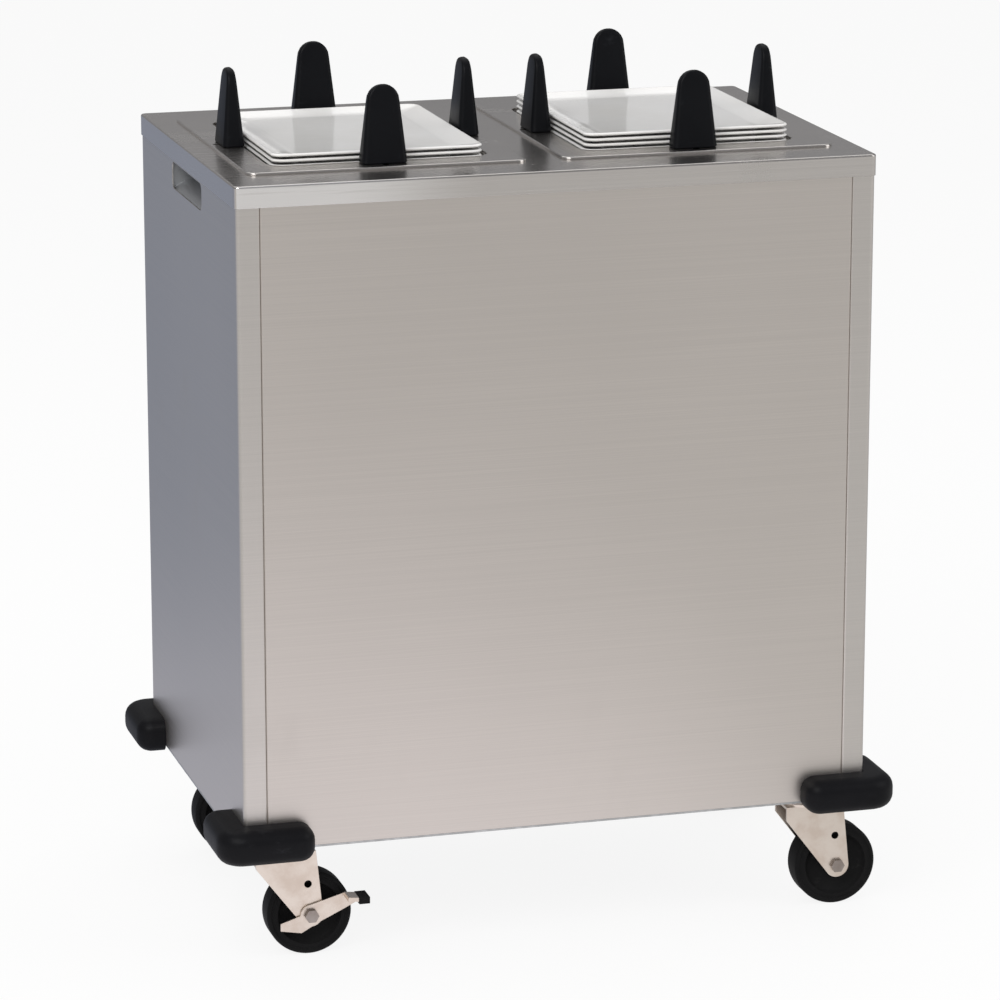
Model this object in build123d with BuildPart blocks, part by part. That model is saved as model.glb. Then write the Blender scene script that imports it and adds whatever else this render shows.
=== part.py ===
from build123d import *
import math
import os

os.makedirs("parts", exist_ok=True)

# Two-stack heated plate dispenser on swivel casters, in millimetres.
# The origin is on the floor under the centre of the cabinet. +X runs to the right along the
# front, the front faces -Y and +Z is up. The wheels stand at rest with their trail towards +X.

# Cabinet
body_width = 762.0
body_depth = 514.0
body_height = 780.0
deck_sheet = 1.5
panel_sheet = 1.5
base_sheet = 2.5
skirt_depth = 25.0
deck_corner_radius = 7.0
deck_edge_radius = 2.4
end_return = 28.0
return_lip = 15.0
bend_radius = 2.2
ledge_width = 16.0

# Hand holds in both ends, just under the deck's skirt
grip_length = 160.0
grip_height = 32.0
grip_corner_radius = 9.0
grip_below_skirt = 3.0
pocket_depth = 32.0
pocket_rise = 20.0
pocket_margin = 4.0
pocket_flange = 9.0
pocket_sheet = 1.2

# Base and caster channels
channel_width = 80.0
channel_height = 30.0
channel_sheet = 2.5
channel_end_gap = 3.0
vent_length = 110.0
vent_width = 8.0
vent_pitch = 24.0
vent_count = 8

# Casters
wheel_radius = 50.8
wheel_width = 32.0
tread_edge = 5.0
rim_depth = 13.0
web_width = 14.0
hub_radius = 15.0
hub_overhang = 2.0
caster_height = 147.0
caster_inset_x = 54.0
caster_inset_y = 62.0
caster_trail = 35.0
plate_x = 67.0
plate_y = 95.0
plate_sheet = 3.0
plate_corner_radius = 6.0
bolt_pitch_x = 45.0
bolt_pitch_y = 72.0
bolt_radius = 4.0
bolt_head_radius = 7.5
bolt_head_height = 5.3
nut_height = 6.5
upper_race_radius = 25.0
upper_race_height = 9.5
lower_race_radius = 29.0
lower_race_height = 5.0
race_gap = 0.5
kingpin_radius = 6.0
kingpin_head_radius = 9.5
kingpin_head_height = 3.0
fork_sheet = 3.0
fork_front = 30.0
fork_rear = 42.0
fork_shoulder = 17.0
fork_boss_radius = 15.0
fork_hole_radius = 4.5
fork_hole_back = 3.0
fork_hole_rise = 38.0
hub_side_gap = 0.5
axle_radius = 5.0
bushing_radius = 6.15
axle_head_radius = 8.5
axle_head_height = 5.0
running_clearance = 0.06

# Brake levers on the two casters at the left end
lever_sheet = 2.5
lever_gap = 0.35
lever_boss_radius = 13.0
pedal_reach = 64.0
pedal_rise = 22.0
pedal_width = 22.0
pedal_length = 24.0
pedal_thickness = 5.0
release_reach = 37.0
release_drop = 12.0
release_height = 9.0

# Corner bumpers
bumper_proud = 34.0
bumper_arm = 80.0
bumper_height = 42.0
bumper_drop = 9.0
bumper_corner_radius = 26.0
bumper_end_radius = 13.0
bumper_edge_radius = 10.0

# Wells
well_pitch = 372.0
well_clearance = 6.0
opening_radius = 20.0
flange_margin_x = 34.0
flange_margin_y = 38.0
flange_height = 3.0
flange_radius = 12.0
flange_edge_radius = 1.8
collar_sheet = 1.5
collar_depth = 20.0
collar_clearance = 0.5
sleeve_sheet = 1.2
sleeve_depth = 700.0

# Plates: oblong with a flared rim, nested on the carriers
plate_width = 250.0
plate_length = 300.0
dish_corner_radius = 20.0
rim_width = 30.0
rim_rise = 5.8
dish_wall = 4.2
foot_height = 2.0
foot_width = 5.0
plate_gap = 0.05
rim_edge = 3.0
left_plate_count = 6
right_plate_count = 7

# Self-levelling carriers
carrier_depth = 28.3
carrier_travel = 450.0
platform_margin = 8.0
platform_sheet = 2.0
platform_skirt = 12.0
platform_radius = 14.0
heat_hole_radius = 14.0
heat_hole_pitch_x = 64.0
heat_hole_pitch_y = 66.0
hanger_offset = 80.0
hanger_sheet = 3.0
hanger_width = 20.0
hanger_inset = 10.0
hanger_drop = 180.0
foot_plate_height = 22.0
slot_clearance = 2.5
slot_end_gap = 6.0
brace_height = 10.0
slide_length = 34.0
slide_clearance = 0.5
slide_height = 9.0

# Extension springs
spring_stand_off = 17.0
spring_radius = 8.0
spring_wire = 2.0
hook_radius = 6.5
hook_hole_radius = 3.2
hook_edge = 6.0
bracket_sheet = 2.5
bracket_width = 20.0
bracket_height = 20.0
bracket_foot = 14.0

# Guide posts
post_base_width = 54.0
post_top_width = 38.0
post_base_thickness = 26.0
post_top_thickness = 10.0
post_height = 90.0
post_edge_radius = 2.0
post_plate_gap = 3.5
post_travel = 14.0
post_gap = 0.3
stud_radius = 3.0
stud_offset = 2.0
stud_clearance = 0.5
clamp_nut_radius = 5.8
clamp_nut_height = 5.0
washer_radius = 7.0
washer_sheet = 1.5
stud_tail = 4.0

# Heating elements
heater_radius = 4.0
heater_lift = 26.0
heater_bend = 22.0
heater_half_x = 78.0
heater_half_y = 112.0
heater_tail = 22.0
heater_collar_radius = 8.0
heater_collar_height = 6.0
heater_hole_clearance = 0.5

# Controls on the right end
control_centre_z = 770.0
control_length = 300.0
control_height = 104.0
control_corner_radius = 5.0
cutout_margin = 14.0
knob_group_inset = 84.0
knob_offset_y = -26.0
knob_radius = 16.0
knob_skirt_radius = 21.0
knob_skirt_height = 3.5
knob_height = 19.0
knob_bar_width = 7.0
knob_gap = 0.4
shaft_radius = 3.0
shaft_reach = 10.0
thermostat_size = 46.0
thermostat_depth = 34.0
switch_offset_y = 42.0
switch_height = 30.0
switch_width = 20.0
bezel_height = 2.0
bezel_wall = 2.5
switch_depth = 26.0
rocker_gap = 0.45
rocker_tilt = 8.0
rocker_proud = 5.0
lamp_offset_z = 33.0
lamp_radius = 5.0
lamp_rise = 3.5
lamp_shank_radius = 3.5
lamp_shank_length = 14.0
inlet_centre_z = 262.0
inlet_flange_radius = 34.0
inlet_flange_height = 3.0
inlet_radius = 23.0
inlet_wall = 4.0
inlet_proud = 11.0
inlet_depth = 30.0
inlet_floor = 5.0
blade_length = 17.0
blade_width = 6.4
blade_thickness = 1.6
blade_spacing = 13.0

# Screws
screw_radius = 2.0
screw_head_radius = 4.6
screw_head_height = 2.2
screw_length = 8.0
rear_screw_inset = 8.0
rear_screw_end_gap = 18.0
rear_screw_count = 5
control_screw_inset = 7.0
inlet_screw_offset = 28.0

# Heights and half sizes that the pieces share
base_bottom = caster_height
panel_foot = base_bottom + base_sheet
deck_top = base_bottom + body_height
deck_under = deck_top - deck_sheet
skirt_bottom = deck_top - skirt_depth
flange_top = deck_top + flange_height
panel_half_x = body_width / 2 - deck_sheet
panel_half_y = body_depth / 2 - deck_sheet
panel_height = deck_under - panel_foot
panel_corner_radius = deck_corner_radius - deck_sheet
bumper_bottom = base_bottom - bumper_drop
opening_x = plate_width + 2 * well_clearance
opening_y = plate_length + 2 * well_clearance
wells = {"left": -well_pitch / 2, "right": well_pitch / 2}
ends = {"left": -1, "right": 1}


def write(piece, name):
    """Label a finished piece and write it under its node's name."""
    piece.label = name
    export_step(piece, f"parts/{name}.step")


# Guide posts: one at the middle of each side of a well, just clear of the plates
post_out_x = plate_width / 2 + post_plate_gap + post_base_thickness / 2
post_out_y = plate_length / 2 + post_plate_gap + post_base_thickness / 2
sides = {
    "front": Vector(0, -1, 0),
    "rear": Vector(0, 1, 0),
    "left": Vector(-1, 0, 0),
    "right": Vector(1, 0, 0),
}


def post_place(well, side):
    """Point on the flange under the centre of a guide post."""
    out = sides[side]
    return Vector(wells[well] + out.X * post_out_x, out.Y * post_out_y, flange_top + post_gap)


stud_slot_width = 2 * (stud_radius + stud_clearance)
stud_slot_length = post_travel + stud_slot_width
stud_slots = [
    (post_place(well, side) + sides[side] * (stud_offset + post_travel / 2), abs(sides[side].Y) * 90)
    for well in wells
    for side in sides
]

# Deck: one sheet with a turned-down skirt, two well openings and the slots of the guide studs
collar_x = opening_x + 2 * collar_sheet
collar_y = opening_y + 2 * collar_sheet
collar_radius = opening_radius + collar_sheet
with BuildPart() as deck:
    with BuildSketch(Plane.XY.offset(skirt_bottom)):
        RectangleRounded(body_width, body_depth, deck_corner_radius)
    extrude(amount=skirt_depth)
    fillet(deck.faces().sort_by(Axis.Z)[-1].edges(), deck_edge_radius)
    with BuildSketch(Plane.XY.offset(skirt_bottom)):
        RectangleRounded(2 * panel_half_x, 2 * panel_half_y, panel_corner_radius)
    extrude(amount=skirt_depth - deck_sheet, mode=Mode.SUBTRACT)
    with BuildSketch(Plane.XY.offset(deck_top)):
        for centre_x in wells.values():
            with Locations((centre_x, 0)):
                RectangleRounded(
                    collar_x + 2 * collar_clearance,
                    collar_y + 2 * collar_clearance,
                    collar_radius + collar_clearance,
                )
        for place, turn in stud_slots:
            with Locations((place.X, place.Y)):
                SlotOverall(stud_slot_length, stud_slot_width, rotation=turn)
    extrude(amount=-deck_sheet, mode=Mode.SUBTRACT)
write(deck.part, "deck")

# Base: a flat pan under the panels, with rows of vent slots between the caster channels
caster_x = body_width / 2 - caster_inset_x
caster_y = body_depth / 2 - caster_inset_y
caster_corners = {
    "front_left": (-caster_x, -caster_y),
    "front_right": (caster_x, -caster_y),
    "rear_left": (-caster_x, caster_y),
    "rear_right": (caster_x, caster_y),
}
with BuildPart() as base_pan:
    with BuildSketch(Plane.XY.offset(base_bottom)):
        RectangleRounded(2 * panel_half_x, 2 * panel_half_y, panel_corner_radius)
        with Locations(*caster_corners.values()):
            with GridLocations(bolt_pitch_x, bolt_pitch_y, 2, 2):
                Circle(bolt_radius, mode=Mode.SUBTRACT)
        for centre_x in wells.values():
            with Locations((centre_x, 0)):
                with GridLocations(vent_pitch, 1, vent_count, 1):
                    SlotOverall(vent_length, vent_width, rotation=90, mode=Mode.SUBTRACT)
    extrude(amount=base_sheet)
write(base_pan.part, "base_pan")

# Caster channels: two steel channels on the pan, front to back over the casters
channel_length = 2 * (panel_half_y - return_lip - channel_end_gap)
with BuildPart() as caster_channels:
    with BuildSketch(Plane.XY.offset(panel_foot)):
        with Locations((-caster_x, 0), (caster_x, 0)):
            Rectangle(channel_width, channel_length)
        with Locations(*caster_corners.values()):
            with GridLocations(bolt_pitch_x, bolt_pitch_y, 2, 2):
                Circle(bolt_radius, mode=Mode.SUBTRACT)
    extrude(amount=channel_sheet)
    with BuildSketch(Plane.XY.offset(panel_foot)):
        for side in (-1, 1):
            wall = side * (channel_width - channel_sheet) / 2
            with Locations((-caster_x + wall, 0), (caster_x + wall, 0)):
                Rectangle(channel_sheet, channel_length)
    extrude(amount=channel_height)
write(caster_channels.part, "caster_channels")

# Front panel: a sheet between the end returns, its two side flanges turned inwards
front_half = panel_half_x - end_return
with BuildPart() as front_panel:
    with BuildSketch(Plane.XY.offset(panel_foot)) as front_plan:
        with Locations((0, -panel_half_y + return_lip / 2)):
            Rectangle(2 * front_half, return_lip)
        fillet(front_plan.vertices().group_by(Axis.Y)[0], bend_radius)
        with Locations((0, -panel_half_y + panel_sheet + return_lip / 2)):
            Rectangle(2 * (front_half - panel_sheet), return_lip, mode=Mode.SUBTRACT)
    extrude(amount=panel_height)
write(front_panel.part, "front_panel")

# Rear service panel: a flat sheet screwed onto the ledges of the two ends
rear_screw_x = front_half - rear_screw_inset
rear_screw_low = bumper_bottom + bumper_height + rear_screw_end_gap
rear_screw_pitch = (skirt_bottom - rear_screw_end_gap - rear_screw_low) / (rear_screw_count - 1)
rear_screw_z = [rear_screw_low + index * rear_screw_pitch for index in range(rear_screw_count)]
rear_screws = [(x, z) for x in (-rear_screw_x, rear_screw_x) for z in rear_screw_z]
with BuildPart() as rear_panel:
    with BuildSketch(Plane.XZ.offset(-panel_half_y)):
        with Locations((0, panel_foot + panel_height / 2)):
            Rectangle(2 * front_half, panel_height)
        with Locations(*rear_screws):
            Circle(screw_radius, mode=Mode.SUBTRACT)
    extrude(amount=panel_sheet)
write(rear_panel.part, "rear_panel")

# End panels: a web with a return and a lip at the front, and a return and a stepped ledge behind.
# The right one is also cut out for the controls and the power inlet.
grip_top = skirt_bottom - grip_below_skirt
grip_centre_z = grip_top - grip_height / 2
control_screws = [
    (y, control_centre_z + z)
    for y in (-control_length / 2 + control_screw_inset, control_length / 2 - control_screw_inset)
    for z in (-control_height / 2 + control_screw_inset, control_height / 2 - control_screw_inset)
]
inlet_screws = [(-inlet_screw_offset, inlet_centre_z), (inlet_screw_offset, inlet_centre_z)]
for end, sign in ends.items():
    with BuildPart() as end_panel:
        with BuildSketch(Plane.XY.offset(panel_foot)) as end_plan:
            with BuildLine():
                Polyline(
                    (sign * panel_half_x, -panel_half_y),
                    (sign * front_half, -panel_half_y),
                    (sign * front_half, -panel_half_y + return_lip),
                    (sign * (front_half + panel_sheet), -panel_half_y + return_lip),
                    (sign * (front_half + panel_sheet), -panel_half_y + panel_sheet),
                    (sign * (panel_half_x - panel_sheet), -panel_half_y + panel_sheet),
                    (sign * (panel_half_x - panel_sheet), panel_half_y - panel_sheet),
                    (sign * (front_half + panel_sheet), panel_half_y - panel_sheet),
                    (sign * (front_half + panel_sheet), panel_half_y - 2 * panel_sheet),
                    (sign * (front_half - ledge_width), panel_half_y - 2 * panel_sheet),
                    (sign * (front_half - ledge_width), panel_half_y - panel_sheet),
                    (sign * front_half, panel_half_y - panel_sheet),
                    (sign * front_half, panel_half_y),
                    (sign * panel_half_x, panel_half_y),
                    close=True,
                )
            make_face()
            for sy in (-1, 1):
                inner = (sign * (panel_half_x - panel_sheet), sy * (panel_half_y - panel_sheet))
                fillet(end_plan.vertices().sort_by_distance(inner)[0], panel_corner_radius - panel_sheet)
                outer = (sign * panel_half_x, sy * panel_half_y)
                fillet(end_plan.vertices().sort_by_distance(outer)[0], panel_corner_radius)
            lip_bend = (sign * front_half, -panel_half_y)
            fillet(end_plan.vertices().sort_by_distance(lip_bend)[0], bend_radius)
        extrude(amount=panel_height)
        with BuildSketch(Plane.YZ.offset(sign * panel_half_x)):
            with Locations((0, grip_centre_z)):
                RectangleRounded(grip_length, grip_height, grip_corner_radius)
            if end == "right":
                with Locations((0, control_centre_z)):
                    Rectangle(control_length - 2 * cutout_margin, control_height - 2 * cutout_margin)
                with Locations(*control_screws, *inlet_screws):
                    Circle(screw_radius)
                with Locations((0, inlet_centre_z)):
                    Circle(inlet_radius)
        extrude(amount=-sign * panel_sheet, mode=Mode.SUBTRACT)
        with BuildSketch(Plane.XZ.offset(-panel_half_y)):
            with Locations(*[place for place in rear_screws if place[0] * sign > 0]):
                Circle(screw_radius)
        extrude(amount=2 * panel_sheet, mode=Mode.SUBTRACT)
    write(end_panel.part, f"{end}_end_panel")

# Hand-hold pockets: drawn cups behind the ends, deep under the skirt and shallow at the bottom
pocket_face_x = panel_half_x - panel_sheet
pocket_low = grip_centre_z - grip_height / 2 - pocket_margin / 2
pocket_high = grip_top + pocket_margin / 2
with BuildPart() as pockets:
    for sign in ends.values():
        mouth = sign * pocket_face_x
        back = sign * (pocket_face_x - pocket_depth)
        with BuildSketch(Plane.XZ):
            with BuildLine():
                Polyline(
                    (mouth, pocket_low - pocket_sheet),
                    (back - sign * pocket_sheet, pocket_low + pocket_rise - pocket_sheet),
                    (back - sign * pocket_sheet, pocket_high + pocket_sheet),
                    (mouth, pocket_high + pocket_sheet),
                    close=True,
                )
            make_face()
        extrude(amount=grip_length / 2 + pocket_margin + pocket_sheet, both=True)
        with BuildSketch(Plane.YZ.offset(mouth)):
            with Locations((0, (pocket_low + pocket_high) / 2)):
                RectangleRounded(
                    grip_length + 2 * (pocket_margin + pocket_flange),
                    pocket_high - pocket_low + pocket_flange,
                    grip_corner_radius,
                )
        extrude(amount=-sign * pocket_sheet)
        with BuildSketch(Plane.XZ):
            with BuildLine():
                Polyline(
                    (mouth, pocket_low),
                    (back, pocket_low + pocket_rise),
                    (back, pocket_high),
                    (mouth, pocket_high),
                    close=True,
                )
            make_face()
        extrude(amount=grip_length / 2 + pocket_margin, both=True, mode=Mode.SUBTRACT)
write(pockets.part, "hand_hold_pockets")

# Corner bumpers: one rubber angle round each lower corner, soft at every outer edge
bumper_corners = [(sx, sy) for sx in (-1, 1) for sy in (-1, 1)]
with BuildPart() as bumpers:
    for sx, sy in bumper_corners:
        face_x = sx * panel_half_x
        face_y = sy * panel_half_y
        corner_tip = (face_x + sx * bumper_proud, face_y + sy * bumper_proud)
        front_tip = (face_x - sx * bumper_arm, face_y + sy * bumper_proud)
        side_tip = (face_x + sx * bumper_proud, face_y - sy * bumper_arm)
        with BuildSketch(Plane.XY.offset(bumper_bottom)) as bumper_plan:
            with BuildLine():
                Polyline(
                    corner_tip,
                    front_tip,
                    (face_x - sx * bumper_arm, face_y),
                    (face_x, face_y),
                    (face_x, face_y - sy * bumper_arm),
                    side_tip,
                    close=True,
                )
            make_face()
            fillet(bumper_plan.vertices().sort_by_distance(corner_tip)[0], bumper_corner_radius)
            for tip in (front_tip, side_tip):
                fillet(bumper_plan.vertices().sort_by_distance(tip)[0], bumper_end_radius)
        extrude(amount=bumper_height)
    levels = bumpers.edges().group_by(Axis.Z)
    soft_edges = [
        edge
        for edge in levels[0] + levels[-1]
        if abs(edge.center().X) > panel_half_x + bend_radius
        or abs(edge.center().Y) > panel_half_y + bend_radius
    ]
    fillet(soft_edges, bumper_edge_radius)
write(bumpers.part, "corner_bumpers")

# Caster top plates with their upper bearing race
plate_bottom = base_bottom - plate_sheet
race_bottom = plate_bottom - upper_race_height
crown_top = race_bottom - race_gap - lower_race_height
with BuildPart() as caster_plates:
    with BuildSketch(Plane.XY.offset(plate_bottom)):
        with Locations(*caster_corners.values()):
            RectangleRounded(plate_x, plate_y, plate_corner_radius)
            with GridLocations(bolt_pitch_x, bolt_pitch_y, 2, 2):
                Circle(bolt_radius, mode=Mode.SUBTRACT)
    extrude(amount=plate_sheet)
    with BuildSketch(Plane.XY.offset(race_bottom)):
        with Locations(*caster_corners.values()):
            Circle(upper_race_radius)
    extrude(amount=upper_race_height)
    with BuildSketch(Plane.XY.offset(race_bottom)):
        with Locations(*caster_corners.values()):
            Circle(kingpin_radius)
    extrude(amount=upper_race_height + plate_sheet, mode=Mode.SUBTRACT)
write(caster_plates.part, "caster_plates")

# Kingpins: riveted in the plates, with a head under each fork's crown
crown_bottom = crown_top - fork_sheet
with BuildPart() as kingpins:
    with BuildSketch(Plane.XY.offset(crown_bottom - race_gap)):
        with Locations(*caster_corners.values()):
            Circle(kingpin_radius)
    extrude(amount=base_bottom - crown_bottom + race_gap)
    with BuildSketch(Plane.XY.offset(crown_bottom - race_gap - kingpin_head_height)):
        with Locations(*caster_corners.values()):
            Circle(kingpin_head_radius)
    extrude(amount=kingpin_head_height)
write(kingpins.part, "kingpins")

# Caster bolts: hexagon heads under the plates, nuts on the channels
bolt_top = panel_foot + channel_sheet
with BuildPart() as caster_bolts:
    with BuildSketch(Plane.XY.offset(plate_bottom)):
        with Locations(*caster_corners.values()):
            with GridLocations(bolt_pitch_x, bolt_pitch_y, 2, 2):
                Circle(bolt_radius)
    extrude(amount=bolt_top + nut_height - plate_bottom)
    with BuildSketch(Plane.XY.offset(plate_bottom - bolt_head_height)):
        with Locations(*caster_corners.values()):
            with GridLocations(bolt_pitch_x, bolt_pitch_y, 2, 2):
                RegularPolygon(bolt_head_radius, 6)
    extrude(amount=bolt_head_height)
    with BuildSketch(Plane.XY.offset(bolt_top)):
        with Locations(*caster_corners.values()):
            with GridLocations(bolt_pitch_x, bolt_pitch_y, 2, 2):
                RegularPolygon(bolt_head_radius, 6)
    extrude(amount=nut_height)
write(caster_bolts.part, "caster_bolts")

# Casters: stamped fork, axle with its bushing, rubber wheel
fork_inner = wheel_width / 2 + hub_overhang + hub_side_gap
fork_outer = fork_inner + fork_sheet
lever_face = fork_outer + lever_gap + lever_sheet
braked = ("front_left", "rear_left")
for corner, (pivot_x, pivot_y) in caster_corners.items():
    axle_x = pivot_x + caster_trail
    has_brake = corner in braked
    with BuildPart() as fork:
        with BuildSketch(Plane.XY.offset(crown_bottom)):
            with Locations((pivot_x + (fork_rear - fork_front) / 2, pivot_y)):
                RectangleRounded(fork_front + fork_rear, 2 * fork_outer, fork_sheet)
        extrude(amount=fork_sheet)
        with BuildSketch(Plane.XY.offset(crown_top)):
            with Locations((pivot_x, pivot_y)):
                Circle(lower_race_radius)
        extrude(amount=lower_race_height)
        chamfer(fork.faces().sort_by(Axis.Z)[-1].edges(), lower_race_height / 3)
        with BuildSketch(Plane.XZ.offset(-pivot_y)) as leg:
            with BuildLine():
                foot_angle = math.radians(210)
                foot_end = (
                    axle_x + fork_boss_radius * math.cos(foot_angle),
                    wheel_radius + fork_boss_radius * math.sin(foot_angle),
                )
                Polyline(
                    foot_end,
                    (pivot_x - fork_front, crown_top - fork_shoulder),
                    (pivot_x - fork_front, crown_top),
                    (pivot_x + fork_rear, crown_top),
                    (axle_x + fork_boss_radius, wheel_radius),
                )
                ThreePointArc(
                    (axle_x + fork_boss_radius, wheel_radius),
                    (axle_x, wheel_radius - fork_boss_radius),
                    foot_end,
                )
            make_face()
            with Locations((axle_x, wheel_radius)):
                Circle(axle_radius, mode=Mode.SUBTRACT)
            with Locations((axle_x - fork_hole_back, wheel_radius + fork_hole_rise)):
                Circle(fork_hole_radius, mode=Mode.SUBTRACT)
        extrude(amount=fork_outer, both=True)
        with BuildSketch(Plane.XZ.offset(-pivot_y)):
            with Locations((axle_x, crown_bottom / 2)):
                Rectangle(4 * wheel_radius, crown_bottom)
        extrude(amount=fork_inner, both=True, mode=Mode.SUBTRACT)
        with BuildSketch(Plane.XY.offset(crown_bottom)):
            with Locations((pivot_x, pivot_y)):
                Circle(kingpin_radius + running_clearance)
        extrude(amount=fork_sheet + lower_race_height, mode=Mode.SUBTRACT)
    write(fork.part, f"fork_{corner}")

    axle_plane = Plane(origin=(axle_x, pivot_y, wheel_radius), x_dir=(1, 0, 0), z_dir=(0, -1, 0))
    head_start = lever_face + lever_gap if has_brake else fork_outer
    with BuildPart() as axle:
        with BuildSketch(axle_plane.offset(-fork_outer)):
            Circle(axle_radius)
        extrude(amount=fork_outer + head_start)
        with BuildSketch(axle_plane.offset(head_start)):
            RegularPolygon(axle_head_radius, 6)
        extrude(amount=axle_head_height)
        with BuildSketch(axle_plane.offset(-fork_outer - axle_head_height)):
            RegularPolygon(axle_head_radius, 6)
        extrude(amount=axle_head_height)
        with BuildSketch(axle_plane.offset(-fork_inner)):
            Circle(bushing_radius)
        extrude(amount=2 * fork_inner)
    write(axle.part, f"axle_{corner}")

    section = Plane(origin=(axle_x, pivot_y, wheel_radius), x_dir=(0, 1, 0), z_dir=(1, 0, 0))
    half = wheel_width / 2
    with BuildPart() as wheel:
        with BuildSketch(section):
            with BuildLine():
                Polyline(
                    (-half - hub_overhang, bushing_radius + running_clearance),
                    (-half - hub_overhang, hub_radius),
                    (-web_width / 2, hub_radius + hub_overhang),
                    (-web_width / 2, wheel_radius - rim_depth - tread_edge),
                    (-half, wheel_radius - rim_depth),
                    (-half, wheel_radius - tread_edge),
                    (-half + tread_edge, wheel_radius),
                    (half - tread_edge, wheel_radius),
                    (half, wheel_radius - tread_edge),
                    (half, wheel_radius - rim_depth),
                    (web_width / 2, wheel_radius - rim_depth - tread_edge),
                    (web_width / 2, hub_radius + hub_overhang),
                    (half + hub_overhang, hub_radius),
                    (half + hub_overhang, bushing_radius + running_clearance),
                    close=True,
                )
            make_face()
        revolve(axis=Axis((axle_x, pivot_y, wheel_radius), (0, 1, 0)))
    write(wheel.part, f"wheel_{corner}")

    if has_brake:
        with BuildPart() as lever:
            with BuildSketch(axle_plane.offset(fork_outer + lever_gap)) as lever_face_plan:
                with BuildLine():
                    Polyline(
                        (-lever_boss_radius * 0.5, lever_boss_radius * 0.87),
                        (pedal_reach - pedal_length, pedal_rise + pedal_thickness / 2),
                        (pedal_reach, pedal_rise),
                        (pedal_reach, pedal_rise - pedal_thickness),
                        (pedal_reach - pedal_length, pedal_thickness),
                        (lever_boss_radius * 0.71, -lever_boss_radius * 0.71),
                        (-release_drop, -release_drop - release_height),
                        (-release_reach, -release_drop - release_height / 2),
                        (-release_reach, -release_drop + release_height / 2),
                        (-lever_boss_radius, 0),
                        close=True,
                    )
                make_face()
                Circle(lever_boss_radius)
                Circle(axle_radius + running_clearance, mode=Mode.SUBTRACT)
            extrude(amount=lever_sheet)
            with BuildSketch(axle_plane.offset(fork_outer + lever_gap)):
                pedal_angle = math.degrees(math.atan2(-pedal_thickness / 2, pedal_length))
                pedal_centre = (pedal_reach - pedal_length / 2, pedal_rise - pedal_thickness / 4)
                with Locations(Location((*pedal_centre, 0), (0, 0, pedal_angle))):
                    Rectangle(pedal_length, pedal_thickness)
            extrude(amount=pedal_width)
        write(lever.part, f"brake_lever_{corner}")

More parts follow.
